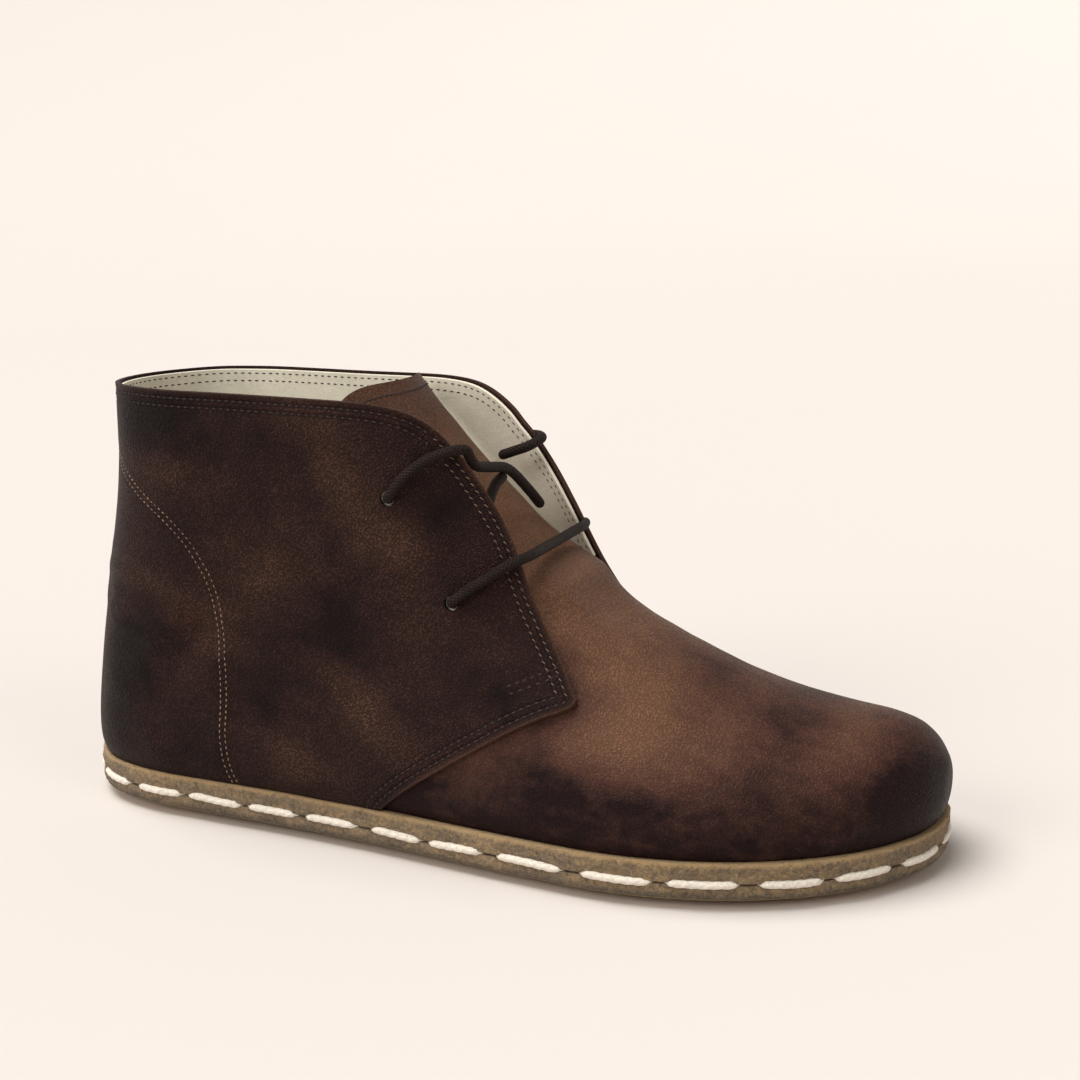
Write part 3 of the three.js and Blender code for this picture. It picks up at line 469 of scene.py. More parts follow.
class Last:
    """The form that the leather is pulled over, in millimetres, as in the solid.

    Its points lie in rings. A level runs from 0 at the sole to 1 above the collar, and a
    turn from 0 at the toe to 0.5 at the heel and on round the outer side."""

    # Rings, points in a ring, where their centres lie, and their reach to the sides
    LEVELS = 108
    TURNS = 288
    BACK = 0.45
    SPREAD = 0.42
    # Lowest and highest ring: shares of the sole's thickness and of the collar height
    BOTTOM = 0.55
    TOP = 1.12
    # The heel's forward curve fades out over these shares of the length
    HEEL_FROM, HEEL_SPAN = 0.1, 0.3
    # The sides lean in over these shares of the collar height
    LEAN_FROM, LEAN_SPAN = 0.14, 0.46
    # The leather is drawn in at the sole and comes out again over a few millimetres
    DRAWN_IN, COMES_OUT, COME_OUT_OVER = -2.2, 3.0, 4.0

    def __init__(self, sizes):
        self.length = sizes.sole_length / MM
        self.ball = sizes.ball_width / MM
        self.collar = sizes.collar_height / MM
        self.instep = sizes.instep_height / MM
        self.sole = sizes.sole_thickness / MM
        self.outline = smooth_line(
            [(self.x(a), c * self.ball) for a, c in OUTLINE], closed=True, per=40)
        turn = int(np.argmax(self.outline[:, 0]))
        outer = self.outline[:turn + 1]
        inner = np.r_[self.outline[turn:], self.outline[:1]]
        self.outer_side = outer[np.argsort(outer[:, 0])]
        self.inner_side = inner[np.argsort(inner[:, 0])]
        along = [row.along for row in SECTIONS]
        self.column = {name: column(along, [getattr(row, name) for row in SECTIONS])
                       for name in Section._fields[1:]}
        self.forward = column(*zip(*BACK_CURVE))
        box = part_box("outsole")
        low, high = self.outline.min(0), self.outline.max(0)
        self.shift = np.array([
            (box[0].x + box[1].x) / 2 / MM - (low[0] + high[0]) / 2,
            (box[0].y + box[1].y) / 2 / MM - (low[1] + high[1]) / 2, 0])
        self.points = self.grid()
        across = np.roll(self.points, -1, 1) - np.roll(self.points, 1, 1)
        up = np.gradient(self.points, axis=0)
        self.normals = unit(np.cross(across, up))
        self.tables = {}

    def x(self, share):
        return (np.asarray(share) - 0.5) * self.length

    def reach(self, x, z):
        """Where the ridge is and how far the last reaches to each side of it"""
        forward = self.forward(z / self.collar) * self.length
        fade = 1 - smooth((x - self.x(self.HEEL_FROM)) / (self.HEEL_SPAN * self.length))
        foot = x - forward * fade
        share = foot / self.length + 0.5
        read = {name: curve(share) for name, curve in self.column.items()}
        crown, spring = read["crown"] * self.instep, read["spring"] * self.instep
        rise = np.clip((z - spring) / (crown - spring), 0, 1)
        cap = np.power(1 - np.power(rise, CROWN_FALL), 1 / CROWN_WIDTH)
        cap = np.where((share > 0) & (share < 1), cap, 0)
        ankle = smooth((z / self.collar - self.LEAN_FROM) / self.LEAN_SPAN)
        ridge = read["ridge"] * self.ball
        outer = ridge - np.interp(foot, *self.outer_side.T)
        inner = np.interp(foot, *self.inner_side.T) - ridge
        return (ridge, np.maximum(0, outer) * (1 - read["lean_outer"] * ankle) * cap,
                np.maximum(0, inner) * (1 - read["lean_inner"] * ankle) * cap)

    def inside(self, p):
        ridge, outer, inner = self.reach(p[..., 0], p[..., 2])
        side = p[..., 1] - ridge
        return np.where(side < 0, -side < outer, side < inner)

    def grid(self):
        """Rings round the last in planes through the back curve and the toe curve"""
        bottom, top = self.sole * self.BOTTOM, self.collar * self.TOP
        z = np.linspace(bottom, top, 61)
        back = np.stack([-0.5 * self.length + self.forward(z / self.collar) * self.length,
                         0 * z, z], -1)
        share = 1 - 0.55 * (np.arange(401) / 400) ** 2
        z = self.column["crown"](share) * self.instep
        keep = (z > bottom) & (np.cumsum(z > top) == 0)
        front = np.stack([self.x(share), 0 * z, z], -1)[keep]
        front = np.r_[[[0.5 * self.length, 0, bottom]], front]
        back, front = evenly(back, self.LEVELS + 1), evenly(front, self.LEVELS + 1)
        centre = back + (front - back) * self.BACK
        centre[:, 1] = self.column["ridge"](centre[:, 0] / self.length + 0.5) * self.ball
        ahead = (front - back) / 2
        turn = 2 * math.pi * np.arange(self.TURNS) / self.TURNS
        ray = ahead[:, None, :] * np.cos(turn)[None, :, None]
        ray[..., 1] = np.sin(turn)[None, :] * self.SPREAD * self.ball
        low = np.zeros(ray.shape[:2])
        high = np.full(ray.shape[:2], 2.2)
        for _ in range(30):
            mid = (low + high) / 2
            inside = self.inside(centre[:, None, :] + ray * mid[..., None])
            low, high = np.where(inside, mid, low), np.where(inside, high, mid)
        return centre[:, None, :] + ray * low[..., None]

    def tuck(self, z):
        """How far the leather stands off the last: in at the sole, then out"""
        height = np.maximum(0, z - self.sole)
        return self.DRAWN_IN + self.COMES_OUT * (1 - np.exp(-height / self.COME_OUT_OVER))

    def read(self, table, level, turn):
        """Smooth reading between the rings and points of a table"""
        rows, around = table.shape[:2]
        level, turn = np.broadcast_arrays(np.asarray(level, float), np.asarray(turn, float))
        v = np.clip(level, 0, 1) * (rows - 1)
        i = np.clip(np.floor(v).astype(int), 0, rows - 2)
        u = (turn % 1) * around
        j = np.floor(u).astype(int)
        parts = []
        for f in (v - i, u - j):
            parts.append((((2 - f) * f - 1) * f / 2, ((3 * f - 5) * f * f + 2) / 2,
                          ((4 - 3 * f) * f + 1) * f / 2, (f - 1) * f * f / 2))
        total = 0
        for a in range(4):
            row = np.clip(i + a - 1, 0, rows - 1)
            for b in range(4):
                share = parts[0][a] * parts[1][b]
                total = total + share[..., None] * table[row, (j + b - 1) % around]
        return total

    def skin(self, level, turn, offset=0.0):
        """Points at a constant offset from the last"""
        key = round(offset, 4)
        if key not in self.tables:
            out = offset + self.tuck(self.points[..., 2])
            self.tables[key] = self.points + self.normals * out[..., None]
        return self.read(self.tables[key], level, turn)

    def normal(self, level, turn):
        return unit(self.read(self.normals, level, turn))

    def level_where(self, turn, offset, over):
        """Level on each turn where over(x, z) turns from false to true"""
        low, high = np.zeros(np.shape(turn)), np.ones(np.shape(turn))
        for _ in range(24):
            mid = (low + high) / 2
            p = self.skin(mid, turn, offset)
            up = over(p[..., 0], p[..., 2])
            low, high = np.where(up, low, mid), np.where(up, mid, high)
        return (low + high) / 2

    def level_at(self, turn, z, offset=0.0):
        return self.level_where(turn, offset, lambda _, height: height > z)

    def place(self, x, z, outer, offset=0.0):
        """Level and way forward of points seen from the side"""
        low, high = np.zeros(np.shape(x)), np.full(np.shape(x), 0.995)
        for _ in range(24):
            mid = (low + high) / 2
            level = self.level_at(turn_of(mid, outer), z, offset)
            ahead = self.skin(level, turn_of(mid, outer), offset)[..., 0] > x
            low, high = np.where(ahead, low, mid), np.where(ahead, mid, high)
        return level, (low + high) / 2


def turn_of(forward, outer):
    """Turn round the last for a way forward from the heel, 0, to the toe, 1"""
    return (0.5 + (0.5 if outer else -0.5) * forward) % 1


LASTS = {}


def last():
    """The last of these sizes, worked out once"""
    s = boot_sizes()
    key = (s.sole_length, s.ball_width, s.collar_height, s.instep_height, s.sole_thickness)
    if key not in LASTS:
        LASTS[key] = Last(s)
    return LASTS[key]


def edge_line(rows):
    """Line of an edge seen from the side, in millimetres"""
    form = last()
    return smooth_line([(form.x(a), h * form.collar) for a, h in rows])


def fold_depth(x, z, folds=FOLDS):
    """Depth of the soft folds at places seen from the side"""
    total = np.zeros(np.shape(x))
    spots = np.stack([x, z], -1)
    for points, half, depth in folds:
        line = smooth_line(points, per=8)
        gap = distance_to(spots, line) / half
        ends = np.minimum(np.linalg.norm(spots - line[0], axis=-1),
                          np.linalg.norm(spots - line[-1], axis=-1))
        total -= depth * np.exp(-gap ** 2) * smooth(ends / (3 * half))
        total += 0.45 * depth * np.exp(-((gap - 2.1) / 0.9) ** 2) * smooth(ends / (3 * half))
    return total


def spot_field(x, z, spots):
    """Lighter and darker places of the leather"""
    total = np.zeros(np.shape(x))
    for s in spots:
        c, n = math.cos(math.radians(s.turn)), math.sin(math.radians(s.turn))
        u = ((x - s.x) * c + (z - s.z) * n) / s.along
        v = (-(x - s.x) * n + (z - s.z) * c) / s.across
        total += s.strength * np.exp(-(u * u + v * v))
    return total


class Quarter:
    """One quarter: its skin laid out in rows along the collar and front edge"""

    ACROSS = 200
    ROWS = 112
    # Narrow rows beside the free edges: their width in millimetres and their number
    FINE = 0.42
    FINE_ROWS = 17
    # Points that a side is traced with before it is divided evenly
    TRACED = 90

    def __init__(self, outer):
        self.outer = outer
        form = self.form = last()
        self.offset = boot_sizes().quarter_leather / MM
        floor = form.sole + 0.2
        top_line = edge_line(COLLAR_EDGE + FRONT_EDGE)
        low_line = edge_line(LOWER_EDGE)[::-1]
        low_line = low_line[low_line[:, 1] > floor]
        collar = column(*zip(*[(form.x(a), h * form.collar) for a, h in COLLAR_EDGE]))
        bend = top_line[top_line[:, 0] > form.x(COLLAR_BEND)]
        bend = evenly(bend, 130)
        level, ahead = form.place(bend[:, 0], bend[:, 1], outer, self.offset)
        way = np.linspace(0, ahead[0], self.TRACED, endpoint=False)
        round_heel = form.level_where(
            turn_of(way, outer), self.offset, lambda x, z: z > collar(x))
        top = np.stack([np.r_[way, ahead], np.r_[round_heel, level]], -1)
        level, ahead = form.place(low_line[:, 0], low_line[:, 1], outer, self.offset)
        right = np.stack([ahead, level], -1)
        right[-1] = top[-1]
        way = np.linspace(0, right[0, 0], self.TRACED)
        bottom = np.stack([way, form.level_at(turn_of(way, outer), floor, self.offset)], -1)
        right = np.r_[bottom[-1:], right]
        left = np.stack([np.zeros(60), np.linspace(bottom[0, 1], top[0, 1], 60)], -1)
        top, right, bottom, left = [self.even(side, n) for side, n in (
            (top, self.ACROSS + 1), (right, self.ROWS + 1),
            (bottom, self.ACROSS + 1), (left, self.ROWS + 1))]
        s = np.linspace(0, 1, self.ACROSS + 1)[None, :, None]
        t = np.linspace(0, 1, self.ROWS + 1)[:, None, None]
        places = ((1 - t) * bottom[None] + t * top[None] + (1 - s) * left[:, None]
                  + s * right[:, None] - (1 - s) * (1 - t) * bottom[0]
                  - s * (1 - t) * bottom[-1] - (1 - s) * t * top[0] - s * t * top[-1])
        places = self.denser(places[::-1].transpose(1, 0, 2)).transpose(1, 0, 2)[::-1]
        places = self.denser(places[:, ::-1])[:, ::-1]
        self.ahead, self.level = places[..., 0], places[..., 1]
        skin = self.skin()
        self.top_gap = distance_to(skin, skin[-1])
        self.low_gap = distance_to(skin, skin[:, -1])
        self.edge_gap = np.minimum(self.top_gap, self.low_gap)

    def skin(self, extra=0.0, offset=None):
        """Points of the quarter's face, or at another offset from the last"""
        turn = turn_of(self.ahead, self.outer)
        base = self.form.skin(self.level, turn, self.offset if offset is None else offset)
        return base + self.form.normal(self.level, turn) * np.asarray(extra)[..., None]

    def even(self, side, count):
        """The same side in steps of equal length"""
        line = self.form.skin(side[:, 1], turn_of(side[:, 0], self.outer), self.offset)
        along = lengths_along(line)
        wanted = np.linspace(0, along[-1], count)
        return np.stack([np.interp(wanted, along, side[:, k]) for k in (0, 1)], -1)

    def denser(self, places):
        """The same places with narrow rows beside the first column"""
        line = self.form.skin(places[..., 1], turn_of(places[..., 0], self.outer), self.offset)
        count = places.shape[1]
        out = np.empty_like(places)
        near = self.FINE * np.arange(self.FINE_ROWS)
        for row, (place, points) in enumerate(zip(places, line)):
            along = lengths_along(points)
            far = np.linspace(0, 1, count - self.FINE_ROWS + 1)[1:] ** 1.12
            start = min(near[-1], along[-1] * 0.3)
            wanted = np.r_[near * start / near[-1], start + (along[-1] - start) * far]
            for k in (0, 1):
                out[row, :, k] = np.interp(wanted, along, place[:, k])
        return out

    def seam(self, inset, offset=None):
        """Line of the skin at a distance in from the free edges, with its normals"""
        skin = self.skin() if offset is None else self.skin(offset=offset)
        turn = turn_of(self.ahead, self.outer)
        normal = self.form.normal(self.level, turn)
        found = []
        for gap, other, flip in ((self.top_gap, self.low_gap, False),
                                 (self.low_gap, self.top_gap, True)):
            part = []
            columns = gap.T if not flip else gap
            for k, gaps in enumerate(columns):
                inner = np.nonzero(gaps >= inset)[0]
                if not len(inner) or inner[-1] == len(gaps) - 1:
                    continue
                i = inner[-1]
                t = (gaps[i] - inset) / (gaps[i] - gaps[i + 1])
                a, b = ((i, k), (i + 1, k)) if not flip else ((k, i), (k, i + 1))
                if (1 - t) * other[a] + t * other[b] >= inset:
                    part.append(np.r_[(1 - t) * skin[a] + t * skin[b],
                                      (1 - t) * normal[a] + t * normal[b]])
            found.append(part[::-1] if flip else part)
        line = np.array(found[0] + found[1])
        return line[:, :3], unit(line[:, 3:])


QUARTERS = {}


def quarter(outer):
    """The outer or inner quarter, worked out once"""
    if outer not in QUARTERS:
        QUARTERS[outer] = Quarter(outer)
    return QUARTERS[outer]


# Blender pieces

def deselect():
    if bpy.context.object and bpy.context.object.mode != "OBJECT":
        bpy.ops.object.mode_set(mode="OBJECT")
    bpy.ops.object.select_all(action="DESELECT")


def named(name):
    piece = bpy.context.object
    piece.name = piece.data.name = name
    return piece


def move_points(piece, points):
    piece.data.vertices.foreach_set("co", np.ascontiguousarray(points, np.float32).ravel())
    piece.data.update()


def read_points(piece):
    co = np.empty(len(piece.data.vertices) * 3, np.float32)
    piece.data.vertices.foreach_get("co", co)
    return co.reshape(-1, 3).astype(float)


def in_frame(points):
    """Millimetres of the last to metres of the frame"""
    return (points + last().shift) * MM


def grid_piece(name, points, flip=False, values=(), chart=None):
    """A grid laid over rows of points, with named values on its points. The chart, where
    there is one, gives the map of each point."""
    rows, across = points.shape[:2]
    deselect()
    bpy.ops.mesh.primitive_grid_add(
        x_subdivisions=across - 1, y_subdivisions=rows - 1, size=2, location=(0, 0, 0))
    piece = named(name)
    flat = read_points(piece)
    i = np.rint((flat[:, 0] + 1) / 2 * (across - 1)).astype(int)
    j = np.rint((flat[:, 1] + 1) / 2 * (rows - 1)).astype(int)
    move_points(piece, in_frame(points[j, i]))
    for label, value in values:
        attribute = piece.data.attributes.new(label, "FLOAT", "POINT")
        attribute.data.foreach_set("value", np.ascontiguousarray(value[j, i], np.float32))
    if chart is not None:
        loops = np.empty(len(piece.data.loops), np.int32)
        piece.data.loops.foreach_get("vertex_index", loops)
        piece.data.uv_layers[0].data.foreach_set(
            "uv", np.ascontiguousarray(chart[j, i][loops], np.float32).ravel())
    if flip:
        edit(piece, lambda: bpy.ops.mesh.flip_normals())
    return piece


def choose(piece):
    deselect()
    piece.select_set(True)
    bpy.context.view_layer.objects.active = piece


def edit(piece, *steps):
    """Runs edit mode steps on the whole piece"""
    choose(piece)
    bpy.ops.object.mode_set(mode="EDIT")
    bpy.ops.mesh.select_all(action="SELECT")
    for step in steps:
        step()
    bpy.ops.object.mode_set(mode="OBJECT")


def edit_points(piece, chosen, step):
    """Runs an edit mode step on some of a piece's points"""
    edit(piece, lambda: bpy.ops.mesh.select_mode(type="VERT"),
         lambda: bpy.ops.mesh.select_all(action="DESELECT"))
    piece.data.vertices.foreach_set("select", chosen)
    bpy.ops.object.mode_set(mode="EDIT")
    step()
    bpy.ops.object.mode_set(mode="OBJECT")


def trim(piece):
    """Takes away the points of a sheet whose keep value is low"""
    values = piece.data.attributes["keep"].data
    keep = np.empty(len(values), np.float32)
    values.foreach_get("value", keep)
    edit_points(piece, keep < 0.5, lambda: bpy.ops.mesh.delete(type="VERT"))
    piece.data.attributes.remove(piece.data.attributes["keep"])


def modify(piece, kind, **settings):
    """Adds a modifier and applies it"""
    choose(piece)
    modifier = piece.modifiers.new(kind.lower(), kind)
    for key, value in settings.items():
        setattr(modifier, key, value)
    bpy.ops.object.modifier_apply(modifier=modifier.name)


def soften(piece, degrees=50):
    choose(piece)
    bpy.ops.object.shade_smooth_by_angle(angle=math.radians(degrees))


def cut(piece, cutter):
    """Takes the cutter's shape out of the piece"""
    modify(piece, "BOOLEAN", operation="DIFFERENCE", object=cutter, solver="EXACT")
    bpy.data.objects.remove(cutter)


def finish(piece, slot, nodes, *materials):
    """Gives a piece its materials and says which solids it replaces"""
    for material in materials:
        piece.data.materials.append(material)
    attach(piece, "root")
    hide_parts(*nodes)
    return piece


def thicken(piece, thickness):
    """Gives a sheet its thickness inwards, with its cut edge as the second material"""
    modify(piece, "SOLIDIFY", thickness=thickness, offset=-1, use_rim=True,
           material_offset_rim=1)


def round_edge(piece, width, degrees=52):
    modify(piece, "BEVEL", width=width, segments=3, limit_method="ANGLE",
           angle_limit=math.radians(degrees), use_clamp_overlap=True)


def tube(name, line, radius, around, twist=None):
    """A round cord along a line in millimetres, with a map in millimetres"""
    along = lengths_along(line)
    ahead = unit(np.gradient(line, axis=0))
    side = np.zeros_like(line)
    start = np.cross(ahead[0], [0, 0, 1.0])
    if np.linalg.norm(start) < 0.2:
        start = np.cross(ahead[0], [0, 1.0, 0])
    side[0] = unit(start)
    for k in range(1, len(line)):
        side[k] = unit(side[k - 1] - ahead[k] * side[k - 1].dot(ahead[k]))
    up = np.cross(side, ahead)
    turn = 2 * math.pi * np.arange(around + 1) / around
    r = twist(along, turn, radius) if twist else np.full((len(line), around + 1), radius)
    fade = np.clip(np.minimum(along, along[-1] - along) / radius, 0, 1)
    r = r * np.sqrt(np.clip(1 - (1 - fade) ** 2, 0.0025, 1))[:, None]
    ring = side[:, None] * np.cos(turn)[:, None] + up[:, None] * np.sin(turn)[:, None]
    chart = np.stack(np.broadcast_arrays(along[:, None], turn[None] * radius), -1)
    piece = grid_piece(name, line[:, None] + ring * r[..., None], chart=chart)
    weld(piece, 0.01)
    close_ends(piece)
    return piece


def weld(piece, gap):
    """Joins points that lie within a gap in millimetres"""
    edit(piece, lambda: bpy.ops.mesh.remove_doubles(threshold=gap * MM))


def close_ends(piece):
    """Fills the open ends of a tube and turns its faces outwards"""
    def select_open():
        bpy.ops.mesh.select_all(action="DESELECT")
        bpy.ops.mesh.select_non_manifold()
    edit(piece, select_open, lambda: bpy.ops.mesh.fill_holes(sides=0),
         lambda: bpy.ops.mesh.select_all(action="SELECT"),
         lambda: bpy.ops.mesh.normals_make_consistent(inside=False))


def join(name, pieces):
    deselect()
    for piece in pieces:
        piece.select_set(True)
    bpy.context.view_layer.objects.active = pieces[0]
    if len(pieces) > 1:
        bpy.ops.object.join()
    return named(name)


def stitch_form():
    """One stitch a unit long along X, with its ends dipping into the leather"""
    deselect()
    bpy.ops.mesh.primitive_cylinder_add(
        vertices=7, radius=1, depth=1, end_fill_type="TRIFAN", rotation=(0, math.pi / 2, 0))
    piece = named("stitch_form")
    bpy.ops.object.transform_apply(location=True, rotation=True, scale=True)
    for x in (-0.36, -0.15, 0.15, 0.36):
        edit(piece, lambda: bpy.ops.mesh.bisect(plane_co=(x, 0, 0), plane_no=(1, 0, 0)))
    p = read_points(piece)
    bend = (2 * np.abs(p[:, 0])) ** 3
    p[:, 1] *= 1 - 0.45 * bend
    p[:, 2] = p[:, 2] * (1 - 0.45 * bend) - 1.5 * bend
    faces = [tuple(face.vertices) for face in piece.data.polygons]
    bpy.data.objects.remove(piece)
    return p, faces


FORMS = {}


def stitches(name, rows, pitch, radius, sink, fill, slant=0.0, begin=0.0):
    """Copies of one stitch along lines that are given with their normals. Fill is the
    share of the pitch that a stitch takes, and begin moves the rows along by a share."""
    if "stitch" not in FORMS:
        FORMS["stitch"] = stitch_form()
    form, faces = FORMS["stitch"]
    points, sides = [], []
    for line, normals in rows:
        along = lengths_along(line)
        count = int(along[-1] / pitch)
        middle = (np.arange(count) + 0.5 + begin) * along[-1] / count
        place = at_lengths(line, middle)
        up = unit(np.stack([np.interp(middle, along, normals[:, k]) for k in range(3)], -1))
        ahead = at_lengths(line, middle + pitch * 0.3) - at_lengths(line, middle - pitch * 0.3)
        ahead = unit(ahead - up * (ahead * up).sum(1, keepdims=True))
        side = np.cross(up, ahead)
        ahead = unit(ahead + side * slant)
        side = np.cross(up, ahead)
        for p, a, s, u in zip(place, ahead, side, up):
            sides.extend([tuple(i + len(points) * len(form) for i in face) for face in faces])
            points.append(p - u * sink + form[:, :1] * pitch * fill * a
                          + form[:, 1:2] * radius * s + form[:, 2:] * radius * u)
    mesh = bpy.data.meshes.new(name)
    mesh.from_pydata(in_frame(np.concatenate(points)).tolist(), [], sides)
    mesh.validate()
    piece = bpy.data.objects.new(name, mesh)
    bpy.context.scene.collection.objects.link(piece)
    edit(piece, lambda: bpy.ops.mesh.normals_make_consistent(inside=False))
    soften(piece, 60)
    return piece


# Materials

class Nodes:
    """Short calls for a material's nodes"""

    def __init__(self, name, roughness, specular, metallic=0.0):
        self.material = bpy.data.materials.new(name)
        self.material.use_nodes = True
        self.tree = self.material.node_tree
        self.shader = self.tree.nodes["Principled BSDF"]
        self.set(self.shader, {"Roughness": roughness, "Specular IOR Level": specular,
                               "Metallic": metallic})
        self.object = self.tree.nodes.new("ShaderNodeTexCoord").outputs["Object"]

    def set(self, node, values):
        for key, value in values.items():
            if isinstance(value, bpy.types.NodeSocket):
                self.tree.links.new(value, node.inputs[key])
            else:
                node.inputs[key].default_value = value

    def add(self, kind, settings=None, **values):
        node = self.tree.nodes.new("ShaderNode" + kind)
        for key, value in (settings or {}).items():
            setattr(node, key, value)
        self.set(node, values)
        return node

    def scaled(self, scale, rotation=(0, 0, 0)):
        node = self.add("Mapping", None, Vector=self.object, Scale=scale, Rotation=rotation)
        return node.outputs[0]

    def noise(self, scale, detail=3.0, rough=0.5, bend=0.0, vector=None):
        return self.add("TexNoise", None, Vector=vector or self.object, Scale=scale,
                        Detail=detail, Roughness=rough, Distortion=bend).outputs["Fac"]

    def cells(self, scale, vector):
        return self.add("TexVoronoi", None, Vector=vector, Scale=scale).outputs["Distance"]

    def value(self, name):
        return self.add("Attribute", {"attribute_name": name}).outputs["Fac"]

    def math(self, operation, a, b=0.0):
        node = self.add("Math", {"operation": operation})
        self.set(node, {0: a, 1: b})
        return node.outputs[0]

    def total(self, *parts):
        """Sum of values, each given with its share"""
        sums = [self.math("MULTIPLY", value, share) for value, share in parts]
        while len(sums) > 1:
            sums[:2] = [self.math("ADD", sums[0], sums[1])]
        return sums[0]

    def height(self):
        return self.separate(self.object)[2]

    def range(self, value, low, high, to_low=0.0, to_high=1.0, soft=True):
        node = self.add("MapRange", {"interpolation_type": "SMOOTHSTEP" if soft else "LINEAR"})
        self.set(node, {"Value": value, "From Min": low, "From Max": high,
                        "To Min": to_low, "To Max": to_high})
        return node.outputs[0]

    def ramp(self, value, *stops):
        node = self.add("ValToRGB", None, Fac=value)
        elements = node.color_ramp.elements
        while len(elements) < len(stops):
            elements.new(0.5)
        for element, (at, tone) in zip(elements, stops):
            element.position = at
            element.color = (*tone, 1)
        return node.outputs["Color"]

    def mix(self, part, a, b):
        node = self.add("Mix", {"data_type": "RGBA"})
        self.set(node, {0: part, 6: a, 7: (*b, 1)})
        return node.outputs[2]

    def bump(self, height, distance, strength=1.0, below=None):
        node = self.add("Bump", None, Height=height, Distance=distance, Strength=strength)
        if below:
            self.set(node, {"Normal": below})
        return node.outputs[0]

    def surface(self, **sockets):
        """Sets the shader's sockets, named with _ for a space"""
        self.set(self.shader, {key.replace("_", " "): value for key, value in sockets.items()})

    def separate(self, vector):
        return list(self.add("SeparateXYZ", None, Vector=vector).outputs)


def shade(tone, *shares):
    """A tone made darker or lighter by one share, or by one for each channel"""
    shares = shares * 3 if len(shares) == 1 else shares
    return tuple(min(1, c * k) for c, k in zip(tone, shares))


def pull_up_leather(name, dark, mid, light, painted_shade_near_sole, contrast):
    """Oiled leather, mottled lighter and darker, with painted light on the vamp and painted shade
    near the sole
    """
    n = Nodes(name, roughness=0.45, specular=0.08)
    broad = n.noise(30, 5, 0.55, 0.5)
    streaks = n.noise(1.0, 6, 0.62, 0.7, n.scaled((60, 90, 150), (0.2, 0.55, 0.1)))
    cloud = n.noise(170, 5, 0.65, 0.4)
    spread = 0.30 + 0.90 * contrast
    tone = n.total((broad, spread), (streaks, 0.42), (cloud, 0.32),
                   # Spot field: pull-up mottling, and on the vamp also painted light and shade
                   (n.value("pull_and_painted_light"), 0.12 + 0.64 * contrast),
                   # Painted shade: darker towards the sole, where the light falls away
                   (n.range(n.height(), 0.042, 0.015, 0.0, painted_shade_near_sole), -1))
    tone = n.math("ADD", tone, 0.40 - (spread + 0.42 + 0.32) / 2)
    base = n.ramp(tone, (0.14, dark), (0.42, mid), (0.90, light))
    warp = n.add("TexNoise", None, Vector=n.object, Scale=420, Detail=2)
    bent = n.add("VectorMath", {"operation": "MULTIPLY_ADD"})
    n.set(bent, {0: warp.outputs["Color"], 1: (0.0011, 0.0011, 0.0011), 2: n.object})
    pebble = n.range(n.cells(1350, bent.outputs[0]), 0.12, 0.62, 1.0, 0.0)
    small = n.range(n.cells(2300, bent.outputs[0]), 0.15, 0.65, 1.0, 0.0)
    fine = n.noise(1900, 4, 0.75)
    grain = n.total((pebble, 0.62), (small, 0.38))
    base = n.mix(n.range(grain, 0.60, 0.12, 0.0, contrast, False), base, shade(dark, 0.5))
    fleck = n.math("MULTIPLY", n.range(fine, 0.46, 0.64), n.range(grain, 0.40, 0.85))
    base = n.mix(n.total((fleck, 0.26 * contrast)), base, light)
    # Painted shade in the grooves of the stitch rows beside the edges
    base = n.mix(n.total((n.value("seam"), 0.55)), base, shade(dark, 0.5))
    # Lighter along the free edges: the cut fibres' own colour and a painted highlight
    base = n.mix(n.total((n.value("fibre_edge_and_highlight"), 0.65)), base, light)
    wrinkle = n.noise(1.0, 5, 0.65, 0.6, n.scaled((230, 260, 420), (0.3, 0.4, 0)))
    n.surface(Base_Color=base,
              Roughness=n.math("ADD", n.total((grain, -0.14), (cloud, 0.22)), 0.40),
              Normal=n.bump(n.total((grain, 0.9), (fine, 0.35)), 0.00060 * contrast, 1.0,
                            n.bump(wrinkle, 0.0011, 0.40)))
    return n.material


def cut_edge(name, tone, dark):
    """Raw cut edge of leather"""
    n = Nodes(name, roughness=0.85, specular=0.2)
    fibre = n.noise(1500, 4, 0.7, 1.0)
    n.surface(Base_Color=n.ramp(fibre, (0.30, dark), (0.70, tone)),
              Normal=n.bump(fibre, 0.0003, 0.8))
    return n.material


def lining_leather(name, tone):
    """Pale smooth leather with a fine crackle"""
    n = Nodes(name, roughness=0.72, specular=0.3)
    broad = n.noise(45, 4, 0.6)
    fine = n.noise(1500, 4, 0.65)
    base = n.ramp(broad, (0.25, shade(tone, 0.72, 0.74, 0.70)), (0.75, tone))
    crackle = n.noise(420, 4, 0.7, 0.8)
    n.surface(Base_Color=n.mix(n.range(fine, 0.6, 0.3, 0, 0.35), base, shade(tone, 0.62)),
              Normal=n.bump(fine, 0.0002, 0.5, n.bump(crackle, 0.0005, 0.4)))
    return n.material


def thread(name, tone, dark, ply=1.0):
    """Twisted thread"""
    n = Nodes(name, roughness=0.62, specular=0.3)
    fibre = n.noise(1.0, 4, 0.6, 0.4, n.scaled((1500, 1500, 2600), (0.4, 0.6, 0)))
    n.surface(Base_Color=n.ramp(fibre, (0.28, dark), (0.62, tone)),
              Normal=n.bump(fibre, 0.00025 * ply, 0.7))
    return n.material


